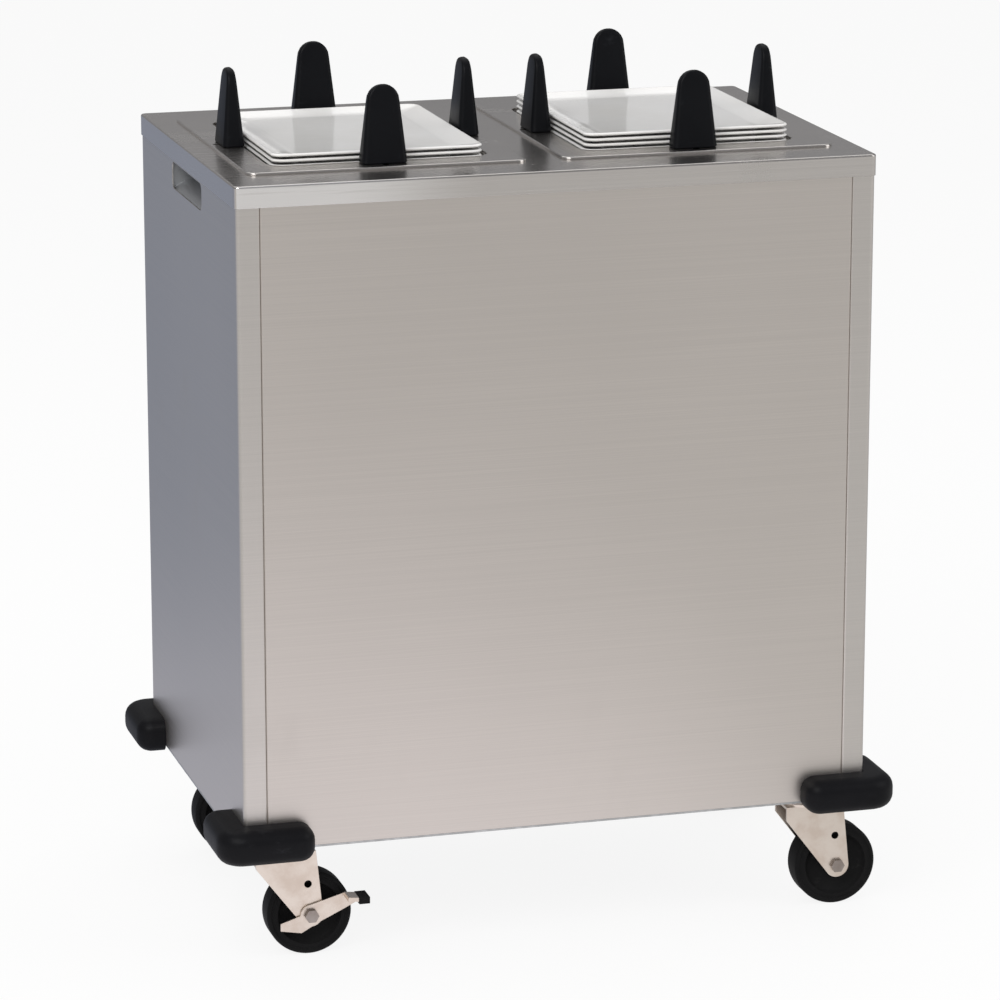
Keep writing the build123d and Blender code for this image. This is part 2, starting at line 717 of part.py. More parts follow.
# Wells: a raised flange with its collar, and a deep sleeve round the collar
slide_x = opening_x / 2 + collar_sheet - slide_clearance
platform_x = opening_x - 2 * platform_margin
platform_y = opening_y - 2 * platform_margin
platform_top = deck_top - carrier_depth
hanger_y = platform_y / 2 - hanger_inset - hanger_width / 2
sleeve_inner_y = opening_y / 2 + collar_sheet
spring_y = sleeve_inner_y + sleeve_sheet + spring_stand_off
foot_bottom = platform_top - hanger_drop
foot_top = foot_bottom + foot_plate_height
sleeve_bottom = deck_top - sleeve_depth
for well, centre_x in wells.items():
    with BuildPart() as flange:
        with BuildSketch(Plane.XY.offset(deck_top)):
            with Locations((centre_x, 0)):
                RectangleRounded(
                    opening_x + 2 * flange_margin_x, opening_y + 2 * flange_margin_y, flange_radius
                )
        extrude(amount=flange_height)
        fillet(flange.faces().sort_by(Axis.Z)[-1].edges(), flange_edge_radius)
        with BuildSketch(Plane.XY.offset(deck_top - collar_depth)):
            with Locations((centre_x, 0)):
                RectangleRounded(collar_x, collar_y, collar_radius)
        extrude(amount=collar_depth)
        with BuildSketch(Plane.XY.offset(deck_top - collar_depth)):
            with Locations((centre_x, 0)):
                RectangleRounded(opening_x, opening_y, opening_radius)
        extrude(amount=collar_depth + flange_height, mode=Mode.SUBTRACT)
        with BuildSketch(Plane.XY.offset(deck_top)):
            for place, turn in stud_slots:
                if place.X * centre_x > 0:
                    with Locations((place.X, place.Y)):
                        SlotOverall(stud_slot_length, stud_slot_width, rotation=turn)
        extrude(amount=flange_height, mode=Mode.SUBTRACT)
    write(flange.part, f"well_flange_{well}")

    slot_low = foot_bottom - carrier_travel - slot_end_gap
    slot_high = foot_top + slot_end_gap
    with BuildPart() as sleeve:
        with BuildSketch(Plane.XY.offset(sleeve_bottom)):
            with Locations((centre_x, 0)):
                RectangleRounded(
                    collar_x + 2 * sleeve_sheet, collar_y + 2 * sleeve_sheet, collar_radius + sleeve_sheet
                )
        extrude(amount=deck_under - sleeve_bottom)
        with BuildSketch(Plane.XY.offset(sleeve_bottom + sleeve_sheet)):
            with Locations((centre_x, 0)):
                RectangleRounded(collar_x, collar_y, collar_radius)
        extrude(amount=deck_under - sleeve_bottom, mode=Mode.SUBTRACT)
        with BuildSketch(Plane.XZ):
            with Locations(
                (centre_x - hanger_offset, (slot_low + slot_high) / 2),
                (centre_x + hanger_offset, (slot_low + slot_high) / 2),
            ):
                SlotOverall(slot_high - slot_low, hanger_sheet + 2 * slot_clearance, rotation=90)
        extrude(amount=body_depth / 2, both=True, mode=Mode.SUBTRACT)
        with BuildSketch(Plane.XY.offset(sleeve_bottom)):
            with Locations(
                (centre_x - heater_half_x, -heater_half_y), (centre_x + heater_half_x, -heater_half_y)
            ):
                Circle(heater_radius + heater_hole_clearance)
        extrude(amount=sleeve_sheet, mode=Mode.SUBTRACT)
    write(sleeve.part, f"well_sleeve_{well}")

    heater_floor = sleeve_bottom + sleeve_sheet
    heater_z = heater_floor + heater_lift
    heater_tail_z = sleeve_bottom - heater_tail
    lane = 2 * heater_half_x / 3
    heater_points = [
        (centre_x - heater_half_x, -heater_half_y, heater_tail_z),
        (centre_x - heater_half_x, -heater_half_y, heater_z),
        (centre_x - heater_half_x, heater_half_y, heater_z),
        (centre_x - heater_half_x + lane, heater_half_y, heater_z),
        (centre_x - heater_half_x + lane, -heater_half_y, heater_z),
        (centre_x + heater_half_x - lane, -heater_half_y, heater_z),
        (centre_x + heater_half_x - lane, heater_half_y, heater_z),
        (centre_x + heater_half_x, heater_half_y, heater_z),
        (centre_x + heater_half_x, -heater_half_y, heater_z),
        (centre_x + heater_half_x, -heater_half_y, heater_tail_z),
    ]
    with BuildPart() as heater:
        with BuildLine() as heater_route:
            FilletPolyline(*heater_points, radius=heater_bend)
        with BuildSketch(Plane(origin=heater_points[0], z_dir=(0, 0, 1))):
            Circle(heater_radius)
        sweep(path=heater_route.wires()[0])
        with BuildSketch(Plane.XY.offset(heater_floor)):
            with Locations(
                (centre_x - heater_half_x, -heater_half_y), (centre_x + heater_half_x, -heater_half_y)
            ):
                Circle(heater_collar_radius)
        extrude(amount=heater_collar_height)
    write(heater.part, f"heater_{well}")

    # Carrier: a perforated platform on four hanger plates whose feet reach out to the springs
    with BuildPart() as carrier:
        with BuildSketch(Plane.XY.offset(platform_top - platform_skirt)):
            with Locations((centre_x, 0)):
                RectangleRounded(platform_x, platform_y, platform_radius)
        extrude(amount=platform_skirt)
        with BuildSketch(Plane.XY.offset(platform_top - platform_skirt)):
            with Locations((centre_x, 0)):
                RectangleRounded(
                    platform_x - 2 * platform_sheet,
                    platform_y - 2 * platform_sheet,
                    platform_radius - platform_sheet,
                )
        extrude(amount=platform_skirt - platform_sheet, mode=Mode.SUBTRACT)
        with BuildSketch(Plane.XY.offset(platform_top)):
            with Locations((centre_x, 0)):
                with GridLocations(heat_hole_pitch_x, heat_hole_pitch_y, 3, 3):
                    Circle(heat_hole_radius)
        extrude(amount=-platform_sheet, mode=Mode.SUBTRACT)
        for hanger_x in (centre_x - hanger_offset, centre_x + hanger_offset):
            with BuildSketch(Plane.YZ.offset(hanger_x)):
                for sy in (-1, 1):
                    with BuildLine():
                        Polyline(
                            (sy * (hanger_y - hanger_width / 2), platform_top - platform_sheet),
                            (sy * (hanger_y + hanger_width / 2), platform_top - platform_sheet),
                            (sy * (hanger_y + hanger_width / 2), foot_top),
                            (sy * (spring_y + hook_edge), foot_top),
                            (sy * (spring_y + hook_edge), foot_bottom),
                            (sy * (hanger_y - hanger_width / 2), foot_bottom),
                            close=True,
                        )
                    make_face()
                    with Locations((sy * spring_y, foot_top - hook_edge)):
                        Circle(hook_hole_radius, mode=Mode.SUBTRACT)
            extrude(amount=hanger_sheet / 2, both=True)
        with BuildSketch(Plane.XY.offset(foot_bottom)):
            for sy in (-1, 1):
                with Locations((centre_x, sy * hanger_y)):
                    Rectangle(2 * hanger_offset, hanger_width)
            with Locations((centre_x - hanger_offset, 0), (centre_x + hanger_offset, 0)):
                Rectangle(hanger_sheet, 2 * hanger_y)
        extrude(amount=brace_height)
    write(carrier.part, f"carrier_{well}")

    slide_reach = slide_x - platform_x / 2
    slide_top = platform_top - platform_sheet
    with BuildPart() as slides:
        with BuildSketch(Plane.XY.offset(slide_top - slide_height)):
            for sx in (-1, 1):
                with Locations((centre_x + sx * (slide_x - slide_reach / 2), 0)):
                    with GridLocations(1, platform_y - 3 * slide_length, 1, 2):
                        Rectangle(slide_reach, slide_length)
        extrude(amount=slide_height)
    write(slides.part, f"carrier_slides_{well}")

# One plate: a flared dish on a foot ring, with its foot on the floor of the row's frame
dish_floor_x = plate_width - 2 * rim_width
dish_floor_y = plate_length - 2 * rim_width
with BuildPart() as dish:
    with BuildSketch(Plane.XY.offset(foot_height)):
        RectangleRounded(dish_floor_x, dish_floor_y, dish_corner_radius / 2)
    with BuildSketch(Plane.XY.offset(foot_height + rim_rise)) as rim:
        RectangleRounded(plate_width, plate_length, dish_corner_radius)
    loft(ruled=True)
    extrude(rim.sketch, amount=dish_wall)
    with BuildSketch(Plane.XY.offset(foot_height + dish_wall)):
        RectangleRounded(dish_floor_x, dish_floor_y, dish_corner_radius / 2)
    with BuildSketch(Plane.XY.offset(foot_height + dish_wall + rim_rise)):
        RectangleRounded(plate_width - 2 * rim_edge, plate_length - 2 * rim_edge, dish_corner_radius - rim_edge)
    loft(ruled=True, mode=Mode.SUBTRACT)
    with BuildSketch(Plane.XY):
        RectangleRounded(dish_floor_x, dish_floor_y, dish_corner_radius / 2)
        RectangleRounded(
            dish_floor_x - 2 * foot_width,
            dish_floor_y - 2 * foot_width,
            dish_corner_radius / 4,
            mode=Mode.SUBTRACT,
        )
    extrude(amount=foot_height)

# Stacks: loose plates nested on each carrier, a hair apart
plate_counts = {"left": left_plate_count, "right": right_plate_count}
plate_pitch = foot_height + dish_wall + plate_gap
for well, centre_x in wells.items():
    stack = [
        dish.part.moved(Location((centre_x, 0, platform_top + index * plate_pitch)))
        for index in range(plate_counts[well])
    ]
    write(Compound(stack), f"plates_{well}")

# Spring brackets under the deck, outside the sleeves
spring_places = {
    well: [(centre_x + sx * hanger_offset, sy * spring_y) for sx in (-1, 1) for sy in (-1, 1)]
    for well, centre_x in wells.items()
}
bracket_hole_z = deck_under - bracket_height + hook_edge
with BuildPart() as spring_brackets:
    for places in spring_places.values():
        with BuildSketch(Plane.XY.offset(deck_under)):
            with Locations(*places):
                Rectangle(bracket_foot, bracket_width)
        extrude(amount=-bracket_sheet)
        with BuildSketch(Plane.XY.offset(deck_under)):
            with Locations(*places):
                Rectangle(bracket_sheet, bracket_width)
        extrude(amount=-bracket_height)
    with BuildSketch(Plane.YZ):
        with Locations((-spring_y, bracket_hole_z), (spring_y, bracket_hole_z)):
            Circle(hook_hole_radius)
    extrude(amount=body_width / 2, both=True, mode=Mode.SUBTRACT)
write(spring_brackets.part, "spring_brackets")

# Springs: closed-wound barrels between two end loops, one through each bracket and hanger foot
upper_loop_z = bracket_hole_z - hook_radius
lower_loop_z = foot_top - hook_edge + hook_radius
barrel_top = upper_loop_z - hook_radius
barrel_bottom = lower_loop_z + hook_radius
for well, places in spring_places.items():
    with BuildPart() as springs:
        with BuildSketch(Plane.XY.offset(barrel_bottom)):
            with Locations(*places):
                Circle(spring_radius)
                Circle(spring_radius - spring_wire, mode=Mode.SUBTRACT)
        extrude(amount=barrel_top - barrel_bottom)
        for z, tip in ((barrel_bottom, -1), (barrel_top, 1)):
            with BuildSketch(Plane.XY.offset(z)):
                with Locations(*places):
                    Circle(spring_radius)
            extrude(amount=tip * -spring_wire)
        for x, y in places:
            with Locations(
                Location((x, y, upper_loop_z), (90, 0, 0)), Location((x, y, lower_loop_z), (90, 0, 0))
            ):
                Torus(hook_radius, spring_wire / 2)
    write(springs.part, f"carrier_springs_{well}")

# Guide posts: a tapered tongue with a rounded tip, on a stud that is clamped under the deck
post_seat = flange_top + post_gap
nut_top = deck_under - post_gap
for well in wells:
    for side, out in sides.items():
        place = post_place(well, side)
        across = Vector(0, 0, 1).cross(out)
        broad = Plane(origin=place, x_dir=across, z_dir=out)
        edge_on = Plane(origin=place, x_dir=out * -1, z_dir=across)
        stud_place = place + out * stud_offset
        with BuildPart() as post:
            with BuildSketch(broad):
                with BuildLine():
                    shoulder = post_height - post_top_width / 2
                    Polyline(
                        (-post_top_width / 2, shoulder),
                        (-post_base_width / 2, 0),
                        (post_base_width / 2, 0),
                        (post_top_width / 2, shoulder),
                    )
                    ThreePointArc(
                        (post_top_width / 2, shoulder), (0, post_height), (-post_top_width / 2, shoulder)
                    )
                make_face()
            extrude(amount=post_base_thickness / 2, both=True)
            with BuildSketch(edge_on):
                with BuildLine():
                    tip = post_height - post_top_thickness / 2
                    Polyline(
                        (-post_top_thickness / 2, tip),
                        (-post_base_thickness / 2, 0),
                        (post_base_thickness / 2, 0),
                        (post_top_thickness / 2, tip),
                    )
                    ThreePointArc(
                        (post_top_thickness / 2, tip), (0, post_height), (-post_top_thickness / 2, tip)
                    )
                make_face()
            extrude(amount=post_base_width / 2, both=True, mode=Mode.INTERSECT)
            with BuildSketch(Plane(origin=(stud_place.X, stud_place.Y, post_seat))):
                Circle(stud_radius)
            extrude(amount=nut_top - washer_sheet - clamp_nut_height - stud_tail - post_seat)
            with BuildSketch(Plane(origin=(stud_place.X, stud_place.Y, nut_top - washer_sheet))):
                Circle(washer_radius)
            extrude(amount=washer_sheet)
            with BuildSketch(
                Plane(origin=(stud_place.X, stud_place.Y, nut_top - washer_sheet - clamp_nut_height))
            ):
                RegularPolygon(clamp_nut_radius, 6)
            extrude(amount=clamp_nut_height)
        write(post.part, f"guide_post_{well}_{side}")

# Control plate on the right end, with the thermostats and switches that it carries
plate_face = panel_half_x + panel_sheet
group_reach = control_length / 2 - knob_group_inset
knob_places = {"left": -group_reach, "right": group_reach}
knob_holes = [(y + knob_offset_y, control_centre_z) for y in knob_places.values()]
switch_holes = [(y + switch_offset_y, control_centre_z) for y in knob_places.values()]
lamp_holes = [(y, z + lamp_offset_z) for y, z in knob_holes]
with BuildPart() as control_plate:
    with BuildSketch(Plane.YZ.offset(panel_half_x)):
        with Locations((0, control_centre_z)):
            RectangleRounded(control_length, control_height, control_corner_radius)
        with Locations(*knob_holes):
            Circle(shaft_radius + running_clearance, mode=Mode.SUBTRACT)
        with Locations(*switch_holes):
            Rectangle(switch_width - 2 * bezel_wall, switch_height - 2 * bezel_wall, mode=Mode.SUBTRACT)
        with Locations(*lamp_holes):
            Circle(lamp_shank_radius, mode=Mode.SUBTRACT)
        with Locations(*control_screws):
            Circle(screw_radius, mode=Mode.SUBTRACT)
    extrude(amount=panel_sheet)
write(control_plate.part, "control_plate")

with BuildPart() as thermostats:
    with BuildSketch(Plane.YZ.offset(panel_half_x)):
        with Locations(*knob_holes):
            RectangleRounded(thermostat_size, thermostat_size, control_corner_radius)
            Circle(shaft_radius + running_clearance, mode=Mode.SUBTRACT)
    extrude(amount=-thermostat_depth)
write(thermostats.part, "thermostats")

# Knobs: a skirted dial with a raised grip bar, turning on the thermostat's shaft
for well, (knob_y, knob_z) in zip(wells, knob_holes):
    with BuildPart() as knob:
        with BuildSketch(Plane(origin=(plate_face + knob_gap, knob_y, knob_z), z_dir=(1, 0, 0))):
            Circle(knob_skirt_radius)
        extrude(amount=knob_skirt_height)
        with BuildSketch(
            Plane(origin=(plate_face + knob_gap + knob_skirt_height, knob_y, knob_z), z_dir=(1, 0, 0))
        ):
            Circle(knob_radius)
        extrude(amount=(knob_height - knob_skirt_height) / 2, taper=4)
        with BuildSketch(Plane.YZ.offset(plate_face + knob_gap + knob_skirt_height)):
            with Locations((knob_y, knob_z)):
                SlotOverall(2 * knob_radius - 2, knob_bar_width, rotation=90)
        extrude(amount=knob_height - knob_skirt_height)
        with BuildSketch(Plane.YZ.offset(plate_face + knob_gap)):
            with Locations((knob_y, knob_z)):
                Circle(shaft_radius)
        extrude(amount=-(knob_gap + panel_sheet + shaft_reach))
    write(knob.part, f"thermostat_knob_{well}")

# Rocker switches: a bezel and body in the plate, and a rocker that tips about a level axis
rocker_pivot_x = plate_face
rocker_half = switch_height / 2 - bezel_wall - rocker_gap
rocker_reach = math.sqrt(rocker_half**2 - rocker_proud**2)
with BuildPart() as switch_bodies:
    with BuildSketch(Plane.YZ.offset(plate_face)):
        with Locations(*switch_holes):
            RectangleRounded(switch_width, switch_height, bezel_wall / 2)
    extrude(amount=bezel_height)
    with BuildSketch(Plane.YZ.offset(plate_face)):
        with Locations(*switch_holes):
            Rectangle(switch_width - 2 * bezel_wall, switch_height - 2 * bezel_wall)
    extrude(amount=-switch_depth)
    with BuildSketch(Plane.YZ.offset(plate_face + bezel_height)):
        with Locations(*switch_holes):
            Rectangle(
                switch_width - 2 * bezel_wall - panel_sheet, switch_height - 2 * bezel_wall - panel_sheet / 2
            )
    extrude(amount=-(switch_depth / 2), mode=Mode.SUBTRACT)
write(switch_bodies.part, "switch_bodies")

for well, (switch_y, switch_z) in zip(wells, switch_holes):
    lean = math.radians(rocker_tilt)
    tilted = Plane(
        origin=(rocker_pivot_x, switch_y, switch_z),
        x_dir=(math.cos(lean), 0, -math.sin(lean)),
        z_dir=(0, -1, 0),
    )
    rocker_width = switch_width - 2 * bezel_wall - panel_sheet - 2 * rocker_gap
    with BuildPart() as rocker:
        with BuildSketch(tilted):
            with BuildLine():
                Polyline(
                    (rocker_proud, rocker_reach - panel_sheet),
                    (rocker_proud / 2, 0),
                    (rocker_proud, -rocker_reach + panel_sheet),
                    (-rocker_proud, -rocker_reach + 2 * panel_sheet),
                    (-rocker_proud, rocker_reach - 2 * panel_sheet),
                    close=True,
                )
            make_face()
        extrude(amount=rocker_width / 2, both=True)
    write(rocker.part, f"switch_rocker_{well}")

with BuildPart() as pilot_lamps:
    with BuildSketch(Plane.YZ.offset(plate_face)):
        with Locations(*lamp_holes):
            Circle(lamp_radius)
    extrude(amount=lamp_rise)
    chamfer(pilot_lamps.faces().sort_by(Axis.X)[-2:].edges(), lamp_rise / 3)
    with BuildSketch(Plane.YZ.offset(plate_face)):
        with Locations(*lamp_holes):
            Circle(lamp_shank_radius)
    extrude(amount=-lamp_shank_length)
write(pilot_lamps.part, "pilot_lamps")

# Power inlet: a flanged socket with three blades, low on the right end
with BuildPart() as power_inlet:
    with BuildSketch(Plane(origin=(panel_half_x, 0, inlet_centre_z), z_dir=(1, 0, 0))):
        Circle(inlet_flange_radius)
    extrude(amount=inlet_flange_height)
    with BuildSketch(Plane(origin=(panel_half_x - inlet_depth, 0, inlet_centre_z), z_dir=(1, 0, 0))):
        Circle(inlet_radius)
    extrude(amount=inlet_depth + inlet_proud)
    with BuildSketch(
        Plane(origin=(panel_half_x - inlet_depth + inlet_floor, 0, inlet_centre_z), z_dir=(1, 0, 0))
    ):
        Circle(inlet_radius - inlet_wall)
    extrude(amount=inlet_depth + inlet_proud, mode=Mode.SUBTRACT)
    with BuildSketch(Plane.YZ.offset(panel_half_x)):
        with Locations(*inlet_screws):
            Circle(screw_radius)
    extrude(amount=inlet_flange_height, mode=Mode.SUBTRACT)
write(power_inlet.part, "power_inlet")

with BuildPart() as inlet_blades:
    with BuildSketch(Plane.YZ.offset(panel_half_x - inlet_depth + inlet_floor)):
        with Locations((-blade_spacing / 2, inlet_centre_z), (blade_spacing / 2, inlet_centre_z)):
            Rectangle(blade_thickness, blade_width)
        with Locations((0, inlet_centre_z - blade_spacing / 2 - blade_width / 4)):
            Circle(blade_width / 3)
    extrude(amount=blade_length)
write(inlet_blades.part, "inlet_blades")

# Screws: the same pan-head screw in the rear panel, the control plate and the inlet
with BuildPart() as panel_screws:
    with BuildSketch(Plane.XZ.offset(-panel_half_y)):
        with Locations(*rear_screws):
            Circle(screw_head_radius)
    extrude(amount=-screw_head_height)
    with BuildSketch(Plane.XZ.offset(-panel_half_y)):
        with Locations(*rear_screws):
            Circle(screw_radius)
    extrude(amount=screw_length)
    for face, places in (
        (plate_face, control_screws),
        (panel_half_x + inlet_flange_height, inlet_screws),
    ):
        with BuildSketch(Plane.YZ.offset(face)):
            with Locations(*places):
                Circle(screw_head_radius)
        extrude(amount=screw_head_height)
        with BuildSketch(Plane.YZ.offset(face)):
            with Locations(*places):
                Circle(screw_radius)
        extrude(amount=-screw_length)
write(panel_screws.part, "panel_screws")
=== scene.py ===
"""Looks of a two-stack heated plate dispenser on swivel casters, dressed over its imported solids."""

from __future__ import annotations

import logging
import math
from collections.abc import Callable, Mapping, Sequence
from dataclasses import dataclass
from enum import Enum
from functools import cache

import bmesh
import bpy
from bpy.types import Material, Node, NodeSocket, NodeTree, Object
from mathutils import Matrix, Vector


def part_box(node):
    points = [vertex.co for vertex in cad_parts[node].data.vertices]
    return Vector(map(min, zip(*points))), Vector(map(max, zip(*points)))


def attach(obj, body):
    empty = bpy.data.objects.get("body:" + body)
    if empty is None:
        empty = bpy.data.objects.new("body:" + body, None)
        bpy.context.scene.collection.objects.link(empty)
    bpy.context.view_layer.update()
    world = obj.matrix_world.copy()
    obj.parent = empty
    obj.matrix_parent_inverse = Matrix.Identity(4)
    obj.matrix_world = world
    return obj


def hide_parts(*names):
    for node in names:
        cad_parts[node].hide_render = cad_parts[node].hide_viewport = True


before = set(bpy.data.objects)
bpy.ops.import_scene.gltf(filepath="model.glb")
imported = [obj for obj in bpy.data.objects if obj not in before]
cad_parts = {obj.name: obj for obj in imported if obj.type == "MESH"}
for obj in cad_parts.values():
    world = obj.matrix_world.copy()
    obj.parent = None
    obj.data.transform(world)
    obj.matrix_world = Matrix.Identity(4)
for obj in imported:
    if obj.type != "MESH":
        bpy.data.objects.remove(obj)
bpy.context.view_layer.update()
LOG = logging.getLogger("plate_dispenser")

Rgb = tuple[float, float, float]
Place = tuple[float, float, float]
Value = "float | Sequence[float] | Signal | NodeSocket"

TINY = 1e-5  # metres; a smaller difference between two places counts as none
FACING = 0.9  # a face looks along an axis when its normal's share of it is larger


class Option(Enum):
    """Base of the options whose names end the names of their nodes."""

    @property
    def suffix(self) -> str:
        """Name ending of the option's nodes."""
        return self.name.lower()


class Well(Option):
    """The two plate wells."""

    LEFT = "left"
    RIGHT = "right"


class Side(Option):
    """The side of a well that a guide post stands on, with its turn about Z in degrees."""

    FRONT = 0.0
    REAR = 180.0
    LEFT = -90.0
    RIGHT = 90.0


class Corner(Option):
    """The cabinet's four corners, by the signs of their X and Y."""

    FRONT_LEFT = (-1, -1)
    FRONT_RIGHT = (1, -1)
    REAR_LEFT = (-1, 1)
    REAR_RIGHT = (1, 1)


class Signal:
    """A shader socket that can stand in arithmetic; every step adds a node."""

    def __init__(self, graph: Graph, socket: NodeSocket) -> None:
        """Keeps the output socket and the graph that new Math nodes go into."""
        self.graph = graph
        self.socket = socket

    def _step(self, operation: str, first: Value, second: Value) -> Signal:
        """Adds one Math node and hands out its result."""
        made = self.graph.node("ShaderNodeMath", {"operation": operation}, {0: first, 1: second})
        return Signal(self.graph, made.outputs[0])

    def __add__(self, other: Value) -> Signal:
        """Sum of two values."""
        return self._step("ADD", self, other)

    __radd__ = __add__

    def __sub__(self, other: Value) -> Signal:
        """Difference of two values."""
        return self._step("SUBTRACT", self, other)

    def __rsub__(self, other: Value) -> Signal:
        """Difference of two values."""
        return self._step("SUBTRACT", other, self)

    def __mul__(self, other: Value) -> Signal:
        """Product of two values."""
        return self._step("MULTIPLY", self, other)

    __rmul__ = __mul__

    def above(self, low: float, high: float) -> Signal:
        """Rises smoothly from 0 at low to 1 at high, or falls where high is the smaller."""
        made = self.graph.node(
            "ShaderNodeMapRange",
            {"interpolation_type": "SMOOTHSTEP"},
            {"Value": self, "From Min": low, "From Max": high, "To Min": 0.0, "To Max": 1.0},
        )
        return Signal(self.graph, made.outputs[0])


class Graph:
    """A shader's node tree; all its nodes come from one method."""

    def __init__(self, tree: NodeTree) -> None:
        """Empties the tree and keeps it."""
        self.tree = tree
        self.tree.nodes.clear()

    def node(
        self, kind: str, settings: Mapping[str, object], inputs: Mapping[object, Value]
    ) -> Node:
        """Adds a node, sets it and feeds its sockets.

        Args:
            kind: Type name of the node.
            settings: Properties of the node, set before its sockets.
            inputs: Socket name or number to a value, a socket or a signal.

        Returns:
            The new node.
        """
        made = self.tree.nodes.new(kind)
        for name, value in settings.items():
            setattr(made, name, value)
        for name, value in inputs.items():
            self.feed(made.inputs[name], value)
        return made

    def feed(self, socket: NodeSocket, value: Value) -> None:
        """Links or sets one input socket.

        Args:
            socket: The socket to feed.
            value: A signal, an output socket or a plain value.
        """
        if isinstance(value, Signal):
            value = value.socket
        if isinstance(value, NodeSocket):
            self.tree.links.new(value, socket)
        else:
            socket.default_value = value

    def blend(self, factor: Value, first: NodeSocket, second: NodeSocket) -> NodeSocket:
        """Mixes two shaders by the share of the second one."""
        return self.node("ShaderNodeMixShader", {}, {0: factor, 1: first, 2: second}).outputs[0]


class Recipe(Graph):
    """The node tree of one finish, built round a Principled shader on Object coordinates."""

    def __init__(self, name: str) -> None:
        """Starts an empty finish of the given name."""
        self.material = bpy.data.materials.new(name)
        self.material.use_nodes = True
        super().__init__(self.material.node_tree)
        self.shader = self.node("ShaderNodeBsdfPrincipled", {}, {})
        self.output = self.node("ShaderNodeOutputMaterial", {}, {"Surface": self.shader.outputs[0]})
        self.place = self.node("ShaderNodeTexCoord", {}, {}).outputs["Object"]

    def set(self, **values: Value) -> None:
        """Feeds sockets of the Principled shader, named with an underscore for each blank."""
        for name, value in values.items():
            self.feed(self.shader.inputs[name.replace("_", " ")], value)

    def noise(self, scale: float | Place, detail: float = 3.0, rough: float = 0.55) -> Signal:
        """Cloudy noise between about 0.25 and 0.75.

        Args:
            scale: Cycles per metre, for all axes or for each.
            detail: Number of octaves.
            rough: Strength of the finer octaves.

        Returns:
            The noise's value.
        """
        spread = scale if isinstance(scale, tuple) else (scale,) * 3
        mapped = self.node("ShaderNodeMapping", {}, {"Vector": self.place, "Scale": spread})
        inputs = {"Vector": mapped.outputs[0], "Scale": 1.0, "Detail": detail, "Roughness": rough}
        return Signal(self, self.node("ShaderNodeTexNoise", {}, inputs).outputs[0])

    def cells(self, scale: float) -> Signal:
        """Distance to the nearest cell's middle, for so many cells per metre."""
        made = self.node("ShaderNodeTexVoronoi", {}, {"Vector": self.place, "Scale": scale})
        return Signal(self, made.outputs["Distance"])

    def axis(self, name: str) -> Signal:
        """The object's own X, Y or Z coordinate, in metres."""
        made = self.node("ShaderNodeSeparateXYZ", {}, {0: self.place})
        return Signal(self, made.outputs[name])

    def mix(self, factor: Value, first: Value, second: Value) -> NodeSocket:
        """Mixes two colours.

        Args:
            factor: Share of the second colour.
            first: Colour at factor 0, as three numbers or a socket.
            second: Colour at factor 1, as three numbers or a socket.

        Returns:
            The mixed colour.
        """
        a, b = ((*c, 1.0) if isinstance(c, tuple) else c for c in (first, second))
        inputs = {"Factor": factor, "A": a, "B": b}
        return self.node("ShaderNodeMix", {"data_type": "RGBA"}, inputs).outputs["Result"]

    def relief(self, height: Value, strength: float, depth: float, edge: float = 0.0) -> None:
        """Feeds the shader's normal from a height and, where asked, softens the sharp edges.

        Args:
            height: The height pattern.
            strength: Strength of the relief.
            depth: Depth of the relief in metres.
            edge: Radius that sharp edges look rounded by, in metres.
        """
        inputs: dict[object, Value] = {"Height": height, "Strength": strength, "Distance": depth}
        if edge:
            soft = self.node("ShaderNodeBevel", {"samples": 4}, {"Radius": edge})
            inputs["Normal"] = soft.outputs[0]
        made = self.node("ShaderNodeBump", {}, inputs)
        self.feed(self.shader.inputs["Normal"], made.outputs[0])


def toned(tone: Rgb, factor: float) -> Rgb:
    """A tone times a factor, held at white."""
    return tuple(min(1.0, part * factor) for part in tone)


@dataclass(frozen=True)
class Finish:
    """Base of the finishes: a name, a main tone and the material that is made from them once."""

    name: str
    tone: Rgb

    @cache
    def material(self) -> Material:
        """The finish's material, made on first use."""
        recipe = Recipe(self.name)
        self.mixed(recipe)
        return recipe.material

    def mixed(self, recipe: Recipe) -> None:
        """Feeds the recipe's shader; each finish has its own way."""
        raise NotImplementedError


@dataclass(frozen=True)
class BrushedSheet(Finish):
    """Stainless sheet with a fine brushed grain, rolling clouds and a few handling marks."""

    grain: Place
    gloss: float = 0.36
    cloud: float = 0.02
    edge: float = 0.0006
    cloud_swing: float = 2.2
    hair_step: float = 3.1

    def mixed(self, recipe: Recipe) -> None:
        """Mixes brushed steel."""
        grain = recipe.noise(self.grain, 4.0, 0.6)
        hairs = recipe.noise(tuple(self.hair_step * step for step in self.grain), 2.0, 0.5)
        clouds = recipe.noise((2.2, 2.2, 1.6), 2.0, 0.5)
        smears = recipe.noise((9.0, 9.0, 5.0), 5.0, 0.62).above(0.56, 0.74)
        swing = self.cloud_swing * self.cloud
        shade = ((grain * 0.55) + (clouds * 0.45)).above(0.3, 0.7)
        colour = recipe.mix(shade, toned(self.tone, 1.0 - swing), toned(self.tone, 1.0 + swing))
        recipe.set(
            Base_Color=self.with_painted_highlight(recipe, colour),
            Metallic=1.0,
            Roughness=(grain * 0.1) + (clouds * 0.08) + (smears * 0.06) + (self.gloss - 0.1),
        )
        recipe.relief((grain * 0.6) + (hairs * 0.4), 0.12, 0.00005, self.edge)

    def with_painted_highlight(self, recipe: Recipe, colour: NodeSocket) -> NodeSocket:
        """Leaves plain sheet as it is, with no painted highlight."""
        return colour


